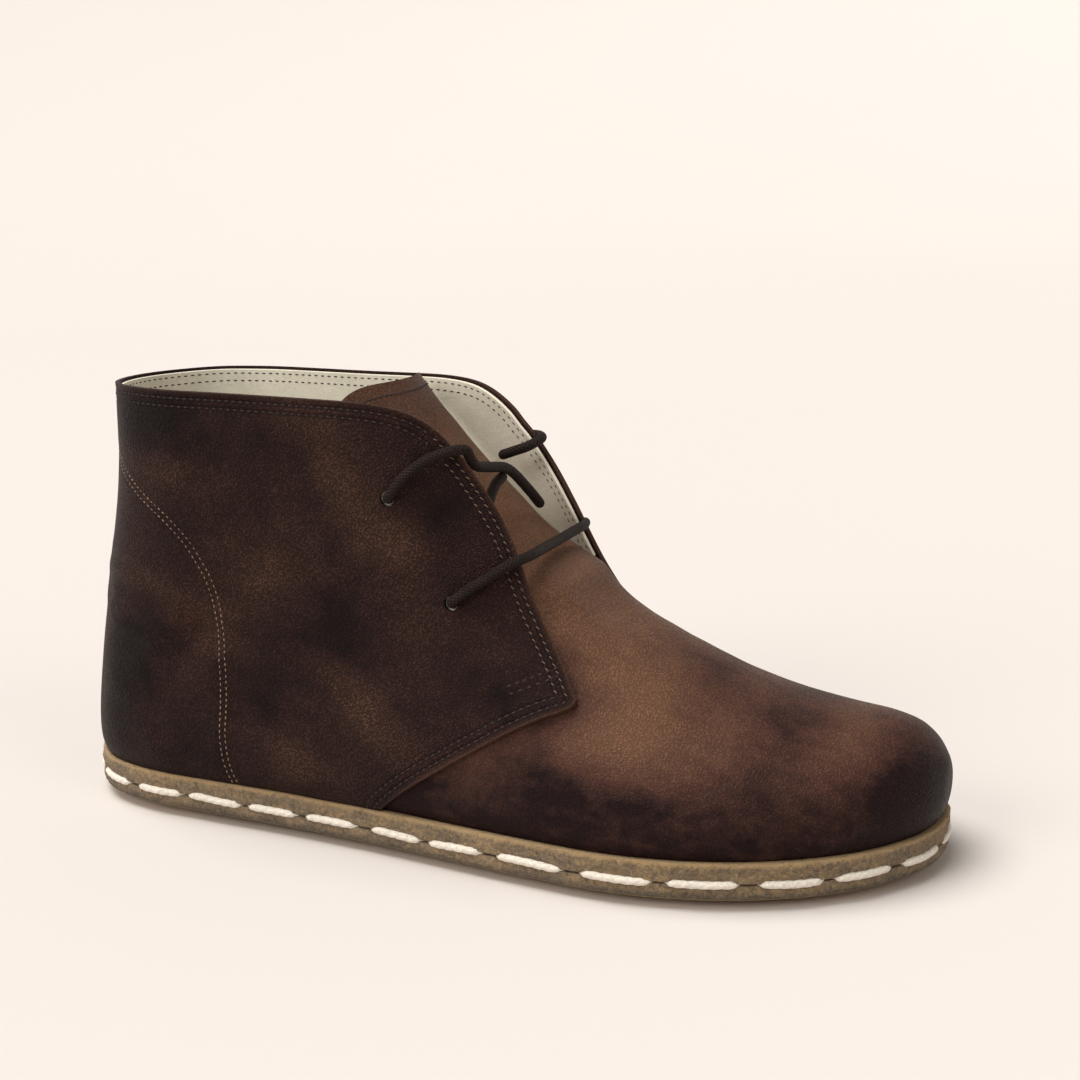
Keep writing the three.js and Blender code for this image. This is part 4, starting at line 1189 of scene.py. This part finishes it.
def waxed_cord(name, tone, around):
    """Woven round cord: two sets of yarns that cross, from the piece's own map"""
    n = Nodes(name, roughness=0.6, specular=0.12)
    along, side = n.separate(n.add("TexCoord").outputs["UV"])[:2]
    yarns = 8 * 2 * math.pi / around
    waves = [n.math("SINE", n.total((along, 5.0), (side, turn * yarns))) for turn in (1, -1)]
    weave = n.math("MAXIMUM", *waves)
    fuzz = n.noise(2200, 4, 0.7)
    patch = n.noise(260, 4, 0.6)
    light = tuple(min(1, c * 2.3 + 0.006) for c in tone)
    mix = n.total((weave, 0.16), (fuzz, 0.62), (patch, 0.26))
    n.surface(Base_Color=n.ramp(mix, (0.25, shade(tone, 0.42)), (0.52, tone), (0.86, light)),
              Normal=n.bump(n.total((weave, 0.5), (fuzz, 1.0)), 0.00055))
    return n.material


def sole_edge_leather(name, tone):
    """Cut edge of a thick sole: long fibres and a brushed nap"""
    n = Nodes(name, roughness=0.9, specular=0.15)
    layers = n.noise(1.0, 5, 0.7, 1.2, n.scaled((330, 330, 520)))
    nap = n.noise(900, 5, 0.85, 0.4)
    blotch = n.noise(110, 5, 0.65)
    # Painted highlight along the top corner and painted shade towards the bottom, where the edge
    # rounds under
    mix = n.total((layers, 0.30), (nap, 0.60), (blotch, 0.26),
                  (n.range(n.height(), 0.0122, 0.0142, 0.0, 0.16), 1),
                  (n.range(n.height(), 0.0060, 0.0030, 0.0, 0.12), -1))
    base = n.ramp(mix, (0.46, shade(tone, 0.30)), (0.58, tone),
                  (0.70, shade(tone, 2.0, 1.95, 1.75)))
    # The slit value paints shade inside the slit, deepest at its back
    n.surface(Sheen_Weight=0.25, Sheen_Roughness=0.5,
              Base_Color=n.mix(n.value("slit"), base, shade(tone, 0.22, 0.16, 0.14)),
              Normal=n.bump(n.total((layers, 0.8), (nap, 1.0)), 0.0020))
    return n.material


def sole_face_leather(name, tone):
    """Smooth rolled face of the sole, softly mottled"""
    n = Nodes(name, roughness=0.5, specular=0.4)
    broad = n.noise(22, 4, 0.6, 0.4)
    fine = n.noise(520, 5, 0.65)
    base = n.ramp(broad, (0.3, shade(tone, 0.80)), (0.7, shade(tone, 1.16)))
    base = n.mix(n.range(fine, 0.62, 0.35, 0.0, 0.22), base, shade(tone, 0.7))
    base = n.mix(n.range(n.height(), 0.0012, 0.0042, 0.0, 0.75), base, shade(tone, 0.52))
    dent = n.noise(160, 4, 0.6)
    n.surface(Base_Color=base, Roughness=n.range(broad, 0.3, 0.7, 0.42, 0.58),
              Normal=n.bump(fine, 0.0002, 0.4, n.bump(dent, 0.0006, 0.3)))
    return n.material


def copper_metal(name, tone):
    """Copper with a light tarnish"""
    n = Nodes(name, roughness=0.35, specular=0.5, metallic=1.0)
    tarnish = n.noise(300, 5, 0.65)
    n.surface(Base_Color=n.ramp(tarnish, (0.32, shade(tone, 0.55)), (0.62, tone)),
              Roughness=n.range(tarnish, 0.3, 0.7, 0.28, 0.5),
              Normal=n.bump(tarnish, 0.0003, 0.35))
    return n.material


def tones(*names):
    colours = boot_colours()
    return [tuple(getattr(colours, name)) for name in names]


def shared(name, make):
    """A material made once for all the pieces that share it"""
    return bpy.data.materials.get(name) or make(name)


def quarter_material():
    return shared("quarter_leather", lambda name: pull_up_leather(
        name, *tones("quarter_dark", "quarter_mid", "quarter_light"), *QUARTER_PAINTED_SHADE_AND_CONTRAST))


def vamp_material():
    return shared("vamp_leather", lambda name: pull_up_leather(
        name, *tones("vamp_dark", "vamp_mid", "vamp_light"), *VAMP_PAINTED_SHADE_AND_CONTRAST))


def raw_edge_material():
    return shared("raw_edge", lambda name: cut_edge(name, *RAW_EDGE))


def edge_relief(gap):
    """Leather beside an edge: drawn in along both seams and full between them"""
    depth = 0.0
    for inset in EDGE_ROWS:
        depth = depth - 0.34 * np.exp(-((gap - inset) / 0.60) ** 2)
    middle = sum(EDGE_ROWS) / 2
    return depth + 0.12 * np.exp(-((gap - middle) / 0.6) ** 2) + 0.10 * np.exp(-gap / 1.0)


# Painted shade in the grooves of the rows beside the edges
def seam_shade(gap):
    return sum(np.exp(-((gap - inset) / 0.55) ** 2) for inset in EDGE_ROWS)


def front_share(x):
    return smooth((x - last().x(FRONT_FROM)) / FRONT_BLEND)


def edge_height(x, z, gap):
    """Height of the quarter's face near its free edges, with the folds fading out there"""
    return (edge_relief(gap) + fold_depth(x, z) * smooth(gap / FOLD_MARGIN)
            + FRONT_LIFT * front_share(x) * np.exp(-gap / FRONT_REACH))


def slit_height(along):
    """Height of the hand-cut slit, which wanders a little"""
    return SLIT_HEIGHT + 0.12 * np.sin(along / 9.0) + 0.1 * np.sin(along / 3.7 + 1)


class OBJECT_OT_boot_sole(bpy.types.Operator):
    """Builds the outsole with its slit edge and dished underside"""

    bl_idname = "object.boot_sole"
    bl_label = "Sole"

    AROUND = 1000

    def execute(self, context):
        form = last()
        outline = np.r_[form.outline, form.outline[:1]]
        total = lengths_along(outline)[-1]
        along = np.linspace(0, total, self.AROUND + 1)
        points = at_lengths(outline, along)
        ahead = unit(at_lengths(outline, np.minimum(along + 0.8, total))
                     - at_lengths(outline, np.maximum(along - 0.8, 0)))
        ahead[0] = ahead[-1] = unit(points[1] - points[-2])
        inward = np.stack([-ahead[:, 1], ahead[:, 0]], -1)
        held = np.zeros(len(along))
        for start, end in sole_stitches(total):
            middle, half = (start + end) / 2, (end - start) / 2
            away = np.abs((along - middle + total / 2) % total - total / 2)
            held = np.maximum(held, 1 - smooth((away - half + 1.6) / 1.8))
        slit = slit_height(along)
        half = SLIT_HALF + SLIT_SPREAD * held
        draw = SLIT_DRAW * held
        low, high, top = slit - half, slit + half, form.sole
        # Lips of the slit: inset, distance from its middle, painted shade that deepens into the
        # slit, roughness
        lips = [(0.25 + draw, half, 0.25, 0.7), (0.85 + draw, half - 0.10, 0.7, 0.3),
                (1.9, half * 0.9 - 0.1, 1.0, 0.0), (3.5, 0.2, 1.0, 0.0)]
        rows = []

        def row(inset, height, dark=0.0, rough=0.0):
            rows.append([np.broadcast_to(np.asarray(v, float), along.shape)
                         for v in (inset, height, dark, rough)])

        for inset in (24, 20, RIM_INSET):
            row(inset, 0.0)
        for share, height in RIM_CURVE:
            row(RIM_INSET * share, RIM_HEIGHT * height)
        row(0.75, 3.25, 0, 0.4)
        row(0.30, 3.65, 0, 0.8)
        for t in np.linspace(0, 1, 9):
            row(0.05 - 0.12 * math.sin(math.pi * t) + draw * t, 4.2 + (low - 4.5) * t, 0, 1)
        for inset, away, dark, rough in lips:
            row(inset, slit - away, dark, rough)
        for inset, away, dark, rough in reversed(lips):
            row(inset, slit + away, dark, rough)
        for t in np.linspace(0, 1, 12):
            row(draw * (1 - t) - 0.15 * math.sin(math.pi * t),
                high + 0.3 + (top - 0.75 - high - 0.3) * t, 0, 1)
        for inset, rise, rough in TOP_CORNER:
            row(inset, top + rise, 0, rough)
        for inset in (4, 8, 14, 20, 24):
            row(inset, top)
        inset, height, dark, rough = np.array(rows).transpose(1, 0, 2)
        grid = np.empty((*inset.shape, 3))
        grid[..., :2] = points + inward * inset[..., None]
        grid[..., 2] = height
        piece = grid_piece("sole", self.ragged(grid, inward, rough), values=[("slit", dark)])
        weld(piece, 0.02)
        close_ends(piece)
        self.bore(piece)
        soften(piece, 45)
        finish(piece, "sole_leather", ["outsole"],
               shared("sole_edge", lambda name: sole_edge_leather(name, *tones("sole_edge"))),
               shared("sole_face", lambda name: sole_face_leather(name, *tones("sole_face"))))
        for polygon in piece.data.polygons:
            if polygon.normal.z < -0.5 and polygon.center.z < 3.3 * MM:
                polygon.material_index = 1
        return {"FINISHED"}

    def ragged(self, grid, inward, rough):
        """Small fibres that stand out of the cut edge"""
        out = grid.copy()
        for j, i in zip(*np.nonzero(rough > 0)):
            p = grid[j, i]
            place = Vector((p[0] * 0.9, p[1] * 0.9, p[2] * 1.4))
            coarse = noise.noise(place * 0.35)
            fine = noise.noise(place * 1.6)
            push = rough[j, i] * (0.30 * coarse + 0.30 * fine)
            out[j, i, :2] -= inward[i] * push
            out[j, i, 2] += rough[j, i] * 0.16 * noise.noise(place * 1.1 + Vector((9, 4, 2)))
        out[:, -1] = out[:, 0]
        return out

    def bore(self, piece):
        """The recess that the rivet's head sits in"""
        deselect()
        bpy.ops.mesh.primitive_cylinder_add(
            vertices=64, radius=boot_sizes().rivet / 2 + 0.3 * MM, depth=4 * MM,
            location=(*rivet_place(), -0.2 * MM))
        bpy.ops.object.transform_apply(location=True)
        cut(piece, bpy.context.object)


def sole_stitches(total):
    """Start and end of each stitch round the sole"""
    stops = list(SOLE_STITCHES)
    start = stops[-1][1] + 6.5
    pitch = (stops[0][0] + total - start) / REST_OF_STITCHES
    for k in range(REST_OF_STITCHES):
        begin = start + k * pitch
        stops.append((begin, begin + pitch - 6.3 + 0.6 * math.sin(k * 1.7)))
    return stops


def rivet_place():
    form = last()
    return in_frame(np.array([form.x(RIVET_PLACE[0]), RIVET_PLACE[1] * form.ball, 0]))[:2]


class OBJECT_OT_boot_sole_thread(bpy.types.Operator):
    """Builds the twisted waxed stitches that lie in the slit of the sole"""

    bl_idname = "object.boot_sole_thread"
    bl_label = "Sole thread"

    def execute(self, context):
        form = last()
        radius = boot_sizes().sole_thread / MM / 2
        outline = np.r_[form.outline, form.outline]
        total = lengths_along(np.r_[form.outline, form.outline[:1]])[-1]
        pieces = []
        for k, (start, end) in enumerate(sole_stitches(total)):
            span = np.linspace(start - THREAD_ENDS, end + THREAD_ENDS, 58)
            p = at_lengths(outline, span)
            ahead = unit(np.gradient(p, axis=0))
            inward = np.stack([-ahead[:, 1], ahead[:, 0]], -1)
            t = (span - start) / (end - start)
            away = np.maximum(0, np.maximum(start - span, span - end) + DIVE_FROM)
            inset = (THREAD_INSET - THREAD_STANDS * np.sin(math.pi * np.clip(t, 0, 1))
                     + DIVE * away ** 1.6)
            z = slit_height(span) + 0.12 * math.sin(k * 2.3) * (2 * t - 1)
            line = np.column_stack([p + inward * inset[:, None], z])
            pieces.append(tube(f"stitch_{k}", line, radius, 20, twist=self.plies))
        piece = join("sole_thread", pieces)
        soften(piece, 70)
        tone, = tones("sole_thread")
        finish(piece, "lace_cord", ["outsole"], shared(
            "sole_thread", lambda name: thread(name, tone, shade(tone, 0.62))))
        return {"FINISHED"}

    def plies(self, along, turn, radius):
        """Radius of the thread, with its twisted plies"""
        wave = np.abs(np.cos(1.5 * (turn[None] - along[:, None] * 0.62)))
        return radius * (0.86 + 0.16 * wave ** 0.7)


class OBJECT_OT_boot_quarters(bpy.types.Operator):
    """Builds both quarters with their cut edges, seam hollows and lace holes"""

    bl_idname = "object.boot_quarters"
    bl_label = "Quarters"

    def execute(self, context):
        for outer in (True, False):
            self.build(outer)
        return {"FINISHED"}

    def build(self, outer):
        q = quarter(outer)
        base = q.skin()
        x, z = base[..., 0], base[..., 2]
        heel_seam = distance_to(np.stack([x, z], -1), counter_line())
        depth, gap, width = HEEL_HOLLOW
        extra = edge_height(x, z, q.edge_gap)
        extra -= depth * np.exp(-((heel_seam - gap) / width) ** 2)
        extra -= BACK_HOLLOW[0] * np.exp(-(q.ahead / BACK_HOLLOW[1]) ** 2)
        # Lighter line along the free edges: partly the cut fibres' own colour, partly painted
        # highlight, strongest on the front edge
        fibre_edge_and_highlight = np.exp(-q.edge_gap / 0.45) * (0.35 + 0.65 * front_share(x))
        piece = grid_piece(
            "quarter_outer" if outer else "quarter_inner", q.skin(extra), flip=not outer,
            values=[("pull_and_painted_light", spot_field(x, z, QUARTER_SPOTS)), ("fibre_edge_and_highlight", fibre_edge_and_highlight),
                    ("seam", seam_shade(q.edge_gap))])
        thicken(piece, (q.offset - 0.02) * MM)
        self.punch(piece, outer)
        round_edge(piece, 0.42 * MM, 55)
        soften(piece)
        finish(piece, "upper_leather", ["upper"], quarter_material(), raw_edge_material())

    def punch(self, piece, outer):
        """The round holes for the lace"""
        form = last()
        for along, height in LACE_HOLES:
            level, ahead = form.place(
                np.array([form.x(along)]), np.array([height * form.collar]), outer, FACE)
            turn = turn_of(ahead, outer)
            deselect()
            bpy.ops.mesh.primitive_cylinder_add(
                vertices=28, radius=boot_sizes().hole / 2, depth=12 * MM,
                location=in_frame(form.skin(level, turn, 0.5))[0],
                rotation=turned_to(form.normal(level, turn)[0]))
            bpy.ops.object.transform_apply(location=True, rotation=True)
            cut(piece, bpy.context.object)


def turned_to(direction):
    """Turn that points an object's Z along a direction"""
    return Vector(direction).to_track_quat("Z", "Y").to_euler()


def counter_line():
    """Middle of the double seam round the heel stiffener"""
    return smooth_line(COUNTER_SEAM, per=8)


class OBJECT_OT_boot_vamp(bpy.types.Operator):
    """Builds the vamp and the tongue that carries on from it"""

    bl_idname = "object.boot_vamp"
    bl_label = "Vamp and tongue"

    def execute(self, context):
        points, pull_and_painted_light, keep = vamp_rows()
        piece = grid_piece("vamp_and_tongue", points, values=[
            ("pull_and_painted_light", pull_and_painted_light), ("keep", keep), ("seam", 0 * pull_and_painted_light), ("fibre_edge_and_highlight", 0 * pull_and_painted_light)])
        trim(piece)
        thicken(piece, boot_sizes().vamp_leather)
        round_edge(piece, 0.4 * MM)
        soften(piece)
        finish(piece, "upper_leather", ["upper", "tongue"], vamp_material(), raw_edge_material())
        return {"FINISHED"}


def from_front(a):
    """Turn round the last for a way back from the toe, 0, to the heel, 1 or -1"""
    return (0.5 * a) % 1


def vamp_rows():
    """Points, lightness and kept part of the vamp's and tongue's grid"""
    form = last()
    floor = form.sole + 0.2
    throat = THROAT_HEIGHT * form.collar + 0.3
    across = np.linspace(-1, 1, VAMP_ACROSS + 1)
    corner_x = np.array([form.x(LOWER_EDGE_END) + 2 - LAP, form.x(FRONT_EDGE[0][0]) - 2 * LAP])
    corner_z = np.array([floor, throat])
    (outer_low, outer_top), (inner_low, inner_top) = [
        1 - form.place(corner_x, corner_z, outer)[1] for outer in (True, False)]

    def ring(low, high, height, count):
        """A level line round the front, with its ways back from the toe"""
        way = np.linspace(low, high, count)
        return form.skin(form.level_at(from_front(way), height), from_front(way)), way

    line, way = ring(-outer_low, inner_low, floor, 900)
    along = lengths_along(line)
    low = np.interp((across + 1) / 2 * along[-1], along, way)
    line, way = ring(-outer_top, inner_top, throat, 700)
    middle = TONGUE_SHIFT * form.ball
    y = np.interp(across, (-1, -TONGUE_SHARE, TONGUE_SHARE, 1),
                  (line[0, 1], middle - TONGUE_HALF, middle + TONGUE_HALF, line[-1, 1]))
    top = np.interp(y, line[:, 1], way)
    t = np.linspace(0, 1, VAMP_ROWS + 1)[:, None]
    lift = smooth(t ** 0.9)
    turn = from_front(low * (1 - lift) + top * lift)
    bottom = form.level_at(turn, floor)
    level = bottom + (form.level_at(turn, throat) - bottom) * t
    vamp = form.skin(level, turn)
    extra = vamp_creases(vamp) - instep_hollow(vamp[..., 1], vamp[..., 2])
    vamp = vamp + form.normal(level, turn) * extra[..., None]
    points = np.concatenate([vamp, tongue_rows(vamp[-1], across, middle, throat)])
    keep = np.ones(points.shape[:2])
    keep[VAMP_ROWS + 1:, ~in_tongue(across)] = 0
    return points, spot_field(points[..., 0], points[..., 2], VAMP_SPOTS), keep


def in_tongue(across):
    return np.abs(across) <= TONGUE_SHARE + 1e-6


def instep_hollow(y, z):
    """The leather gives a little in front of the ankle, between and under the quarters"""
    middle = 4.0 * np.exp(-((z - 81) / 11) ** 2) * np.exp(-(y / 19) ** 2)
    return middle + 1.5 * smooth((np.abs(y) - 18) / 8) * smooth((z - 68) / 11)


def vamp_creases(p):
    """Fine folds across the vamp, at the listed places"""
    x, y, z = p[..., 0], p[..., 1] + 4, p[..., 2]
    total = np.zeros(x.shape)
    for along, bow, width, depth, reach in VAMP_CREASES:
        gap = (x - along + bow * y ** 2) / width
        fade = np.exp(-(y / reach) ** 2) * smooth((z - 26) / 14)
        total -= depth * np.exp(-gap ** 2) * fade
    return total


def tongue_rows(foot, across, middle, throat):
    """The tongue's rows above the throat, free of the last"""
    form = last()
    lean = column(*zip(*TONGUE_LINE))
    top_x, top_z = form.x(TONGUE_TOP[0]), TONGUE_TOP[1] * form.collar
    share = np.clip(across / TONGUE_SHARE, -1, 1)
    foot = foot[np.argsort(foot[:, 1])]
    front = np.interp(middle, foot[:, 1], foot[:, 0])
    rows = []
    for k in range(1, TONGUE_ROWS + 1):
        t = k / TONGUE_ROWS
        free = smooth(t / 0.35)
        side = share * (TONGUE_HALF + (TONGUE_TOP_HALF - TONGUE_HALF) * smooth(t / 0.5))
        sag = side ** 2 / 120
        seated = front - np.interp(middle + side, foot[:, 1], foot[:, 0])
        wave = 0.5 * np.sin(side / 9 + 0.8) * smooth((t - 0.3) / 0.4)
        x = front + (top_x - front) * lean(t) - sag * free - seated * (1 - free) + wave
        corner = 4 * np.abs(share) ** 6 * smooth((t - 0.7) / 0.3)
        rows.append(np.stack([x, middle + side, throat + (top_z - throat) * t - corner], -1))
    rows = np.array(rows)
    inside = in_tongue(across)
    rows[:, ~inside] = rows[:, [int(np.argmax(inside))]]
    return rows


class OBJECT_OT_boot_lining(bpy.types.Operator):
    """Builds the cream lining inside both quarters"""

    bl_idname = "object.boot_lining"
    bl_label = "Lining"

    def execute(self, context):
        edge = edge_line(FRONT_EDGE + LOWER_EDGE[1:])[::-1]
        pieces = []
        for outer in (True, False):
            points = quarter(outer).skin(offset=-0.05)[:-2, :-2]
            x, z = points[..., 0], points[..., 2]
            under_vamp = (z < THROAT_HEIGHT * last().collar) & (
                x > np.interp(z, edge[:, 1], edge[:, 0]) - 14)
            piece = grid_piece("lining_part", points, flip=not outer,
                               values=[("keep", 1.0 - under_vamp)])
            trim(piece)
            thicken(piece, boot_sizes().lining_leather)
            round_edge(piece, 0.28 * MM)
            pieces.append(piece)
        piece = join("lining", pieces)
        soften(piece)
        finish(piece, "insole_leather", ["upper"],
               shared("cream_lining", lambda name: lining_leather(name, *tones("lining"))),
               shared("lining_edge", lambda name: cut_edge(name, *LINING_EDGE)))
        return {"FINISHED"}


class OBJECT_OT_boot_seams(bpy.types.Operator):
    """Sews the rows along the edges, round the heel and on the tongue"""

    bl_idname = "object.boot_seams"
    bl_label = "Seams"

    def execute(self, context):
        pitch = boot_sizes().stitch_pitch / MM
        rows = {name: [] for name in SEAMS}
        edge_rows, front_rows, heel_rows, lining_rows = rows.values()
        for outer in (True, False):
            q = quarter(outer)
            for inset in EDGE_ROWS:
                line, normal = q.seam(inset)
                line = line + normal * edge_height(line[:, 0], line[:, 2], inset)[:, None]
                begin = int(np.argmax(line[:, 0] > q.form.x(0.47)))
                corner = int(np.argmax(line[:, 0]))
                edge_rows.append((line[:begin], normal[:begin]))
                front_rows.append((line[begin:corner], normal[begin:corner]))
                edge_rows.append((line[corner:], normal[corner:]))
                line, normal = q.seam(inset, offset=-1.05)
                stop = np.argmax(line[:, 0] > last().x(0.57)) or len(line)
                lining_rows.append((line[:stop], -normal[:stop]))
            heel_rows.extend(self.side_rows(counter_line(), outer, HEEL_HOLLOW[1]))
            edge_rows.extend(self.side_rows(np.array(BAR_TACK, float), outer, 1.1))
        edge_rows.append(tongue_seam())
        for name, (colour_name, radius, sink, share, slant) in SEAMS.items():
            tone, = tones(colour_name)
            piece = stitches(name, rows[name], pitch * share, radius, sink, 0.78, slant)
            finish(piece, "upper_leather", ["upper"], shared(
                name, lambda label: thread(label, shade(tone, 1.4), shade(tone, 0.5), 0.5)))
        # Painted shadow in each stitch hole: short near-black cords between the stitches
        piece = stitches("stitch_holes", edge_rows + front_rows, pitch, 0.50, 0.34, 0.50, 0.0, 0.5)
        finish(piece, "upper_leather", ["upper"], shared(
            "stitch_holes", lambda label: thread(label, *STITCH_HOLE_SHADOW, 0.2)))
        return {"FINISHED"}

    def side_rows(self, line, outer, half):
        """Two rows either side of a line seen from the side"""
        form = last()
        line = evenly(line, 90)
        ahead = unit(np.gradient(line, axis=0))
        across = np.stack([-ahead[:, 1], ahead[:, 0]], -1)
        rows = []
        for side in (-half, half):
            spot = line + across * side
            level, way = form.place(spot[:, 0], spot[:, 1], outer, FACE)
            turn = turn_of(way, outer)
            keep = way > 0.002
            normal = form.normal(level, turn)
            points = form.skin(level, turn, FACE) + normal * (
                fold_depth(spot[:, 0], spot[:, 1]) - 0.14)[:, None]
            rows.append((points[keep], normal[keep]))
        return rows


def tongue_seam():
    """Line of stitches inside the tongue's top edge, with its normals"""
    points, _, keep = vamp_rows()
    rows = points[VAMP_ROWS + 1:]
    normal = unit(np.cross(np.gradient(rows, axis=1), np.gradient(rows, axis=0)))
    columns = np.nonzero(keep[-1] > 0.5)[0][5:-5]
    path = [(k, columns[0]) for k in range(-31, -5, 2)] + [(-5, c) for c in columns[::3]]
    return [np.array([table[place] for place in path]) for table in (rows, normal)]


class OBJECT_OT_boot_laces(bpy.types.Operator):
    """Runs the round lace through its holes"""

    bl_idname = "object.boot_laces"
    bl_label = "Laces"

    def execute(self, context):
        form = last()
        radius = boot_sizes().lace / MM / 2
        cord = shared("waxed_cord", lambda name: waxed_cord(
            name, *tones("lace"), 2 * math.pi * radius))
        nodes = {"lace_short_strand": "lace_crossing"}
        for name, runs in LACES.items():
            line = smooth_line([self.point(form, side, place, radius)
                                for side, places in runs for place in places], per=26)
            line = evenly(line, max(30, int(lengths_along(line)[-1] / 0.5)))
            piece = tube(name + "_cord", line, radius, 22)
            soften(piece, 60)
            finish(piece, "lace_cord", [nodes.get(name, name)], cord)
        return {"FINISHED"}

    def point(self, form, side, place, radius):
        """Middle of the cord at a place of the table"""
        x, z = form.x(place[0]), place[1] * form.collar
        if side == "open":
            return np.array([x, place[2] * form.ball, z])
        outer = side == "outer"
        level, ahead = form.place(np.array([x]), np.array([z]), outer, FACE)
        turn = turn_of(ahead, outer)
        seat = form.skin(level, turn, FACE) + form.normal(level, turn) * (radius + place[2])
        return seat[0]


def turned(profile, steps, x=0.0, y=0.0):
    """Rings of a profile in millimetres turned round an upright line of the frame"""
    turn = 2 * math.pi * np.arange(steps + 1) / steps
    rings = np.array([[(r * math.cos(a), r * math.sin(a), z) for a in turn]
                      for r, z in profile])
    return rings + (x / MM, y / MM, 0) - last().shift


class OBJECT_OT_boot_rivet(bpy.types.Operator):
    """Turns the copper rivet with its raised middle disc"""

    bl_idname = "object.boot_rivet"
    bl_label = "Rivet"

    def execute(self, context):
        half = boot_sizes().rivet / 2 / MM
        profile = [
            (0.0, 0.14), (2.6, 0.14), (3.25, 0.17), (3.5, 0.30), (3.62, 0.48), (3.85, 0.52),
            (half - 0.9, 0.44), (half - 0.4, 0.50), (half - 0.1, 0.72), (half, 1.0),
            (half, 1.5), (2.5, 1.5), (2.5, 17.8), (4.5, 17.8), (4.5, 18.3), (4.1, 18.55),
            (2.0, 18.65), (0.0, 18.65),
        ]
        piece = grid_piece("copper_rivet", turned(profile, 72, *rivet_place()))
        weld(piece, 0.005)
        edit(piece, lambda: bpy.ops.mesh.normals_make_consistent(inside=False))
        soften(piece, 35)
        finish(piece, "copper", ["rivet"], shared(
            "copper", lambda name: copper_metal(name, *tones("copper"))))
        return {"FINISHED"}


class OBJECT_OT_boot_insole(bpy.types.Operator):
    """Gives the insole its pale leather"""

    bl_idname = "object.boot_insole"
    bl_label = "Insole"

    def execute(self, context):
        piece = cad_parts["insole"]
        piece.data.materials.clear()
        piece.data.materials.append(shared(
            "insole_leather", lambda name: lining_leather(name, *tones("insole"))))
        return {"FINISHED"}


class OBJECT_OT_boot_stage(bpy.types.Operator):
    """Sets the plain floor, the soft light and the camera"""

    bl_idname = "object.boot_stage"
    bl_label = "Stage"

    def execute(self, context):
        self.floor()
        self.camera(context)
        self.lights(context)
        return {"FINISHED"}

    def floor(self):
        """A round floor that curves up into a plain backdrop"""
        profile = [(1, -0.05), (500, -0.05), (1400, -0.05), (2500, 0)]
        profile += [(2500 + 6000 * t, 2400 * t * t) for t in np.linspace(0.04, 1, 24)]
        piece = grid_piece("floor", turned(profile, 96))
        weld(piece, 0.01)
        middle = np.hypot(*read_points(piece)[:, :2].T) < 0.01
        edit_points(piece, middle, lambda: bpy.ops.mesh.merge(type="CENTER"))
        soften(piece, 60)
        n = Nodes("backdrop", roughness=0.9, specular=0.1)
        tone, = tones("backdrop")
        drift = n.noise(1.2, 2, 0.4)
        n.surface(Base_Color=n.ramp(drift, (0.2, shade(tone, 0.985)), (0.8, tone)))
        piece.data.materials.append(n.material)

    def camera(self, context):
        """The photograph's angle, with a shift for its framing"""
        azimuth, elevation = math.radians(AZIMUTH), math.radians(ELEVATION)
        back = Vector((math.sin(azimuth) * math.cos(elevation),
                       -math.cos(azimuth) * math.cos(elevation), math.sin(elevation)))
        data = bpy.data.cameras.new("camera")
        data.sensor_width = 36
        data.sensor_fit = "HORIZONTAL"
        data.lens = FOCAL / PICTURE * data.sensor_width
        data.shift_x = (PICTURE / 2 - CENTRE[0]) / PICTURE
        data.shift_y = (CENTRE[1] - PICTURE / 2) / PICTURE
        data.clip_start = 0.01
        camera = bpy.data.objects.new("camera", data)
        context.scene.collection.objects.link(camera)
        target = Vector(in_frame(np.array([0, 0, TARGET_HEIGHT / MM])))
        camera.location = target + back * DISTANCE
        camera.rotation_euler = turned_to(back)
        context.scene.camera = camera

    def lights(self, context):
        scene = context.scene
        scene.view_settings.view_transform = "Standard"
        world = bpy.data.worlds.new("studio")
        world.use_nodes = True
        sky = world.node_tree.nodes["Background"]
        sky.inputs["Color"].default_value = SKY
        sky.inputs["Strength"].default_value = SKY_STRENGTH
        scene.world = world
        for name, (energy, spread, toward) in SUNS.items():
            data = bpy.data.lights.new(name, "SUN")
            data.energy = energy
            data.angle = math.radians(spread)
            data.color = SUN_TONE
            light = bpy.data.objects.new(name, data)
            scene.collection.objects.link(light)
            light.rotation_euler = turned_to(toward)


class VIEW3D_PT_boot(bpy.types.Panel):
    """Sizes and colours of the boot, with a button for each piece"""

    bl_idname = "VIEW3D_PT_boot"
    bl_label = "Chukka boot"
    bl_space_type = "VIEW_3D"
    bl_region_type = "UI"
    bl_category = "Boot"

    def draw(self, context):
        layout = self.layout
        for group in (context.scene.boot_sizes, context.scene.boot_colours):
            box = layout.box()
            for name in group.__annotations__:
                box.prop(group, name)
        for operator in STEPS:
            layout.operator(operator.bl_idname)


STEPS = (
    OBJECT_OT_boot_stage, OBJECT_OT_boot_sole, OBJECT_OT_boot_sole_thread,
    OBJECT_OT_boot_quarters, OBJECT_OT_boot_lining, OBJECT_OT_boot_vamp,
    OBJECT_OT_boot_seams, OBJECT_OT_boot_laces, OBJECT_OT_boot_rivet,
    OBJECT_OT_boot_insole,
)
CLASSES = (BootSizes, BootColours, *STEPS, VIEW3D_PT_boot)


def register():
    for kind in CLASSES:
        bpy.utils.register_class(kind)
    bpy.types.Scene.boot_sizes = bpy.props.PointerProperty(type=BootSizes)
    bpy.types.Scene.boot_colours = bpy.props.PointerProperty(type=BootColours)


def unregister():
    del bpy.types.Scene.boot_colours
    del bpy.types.Scene.boot_sizes
    for kind in reversed(CLASSES):
        bpy.utils.unregister_class(kind)


def main():
    register()
    for operator in STEPS:
        group, name = operator.bl_idname.split(".")
        getattr(getattr(bpy.ops, group), name)()
    deselect()


if __name__ == "__main__":
    main()
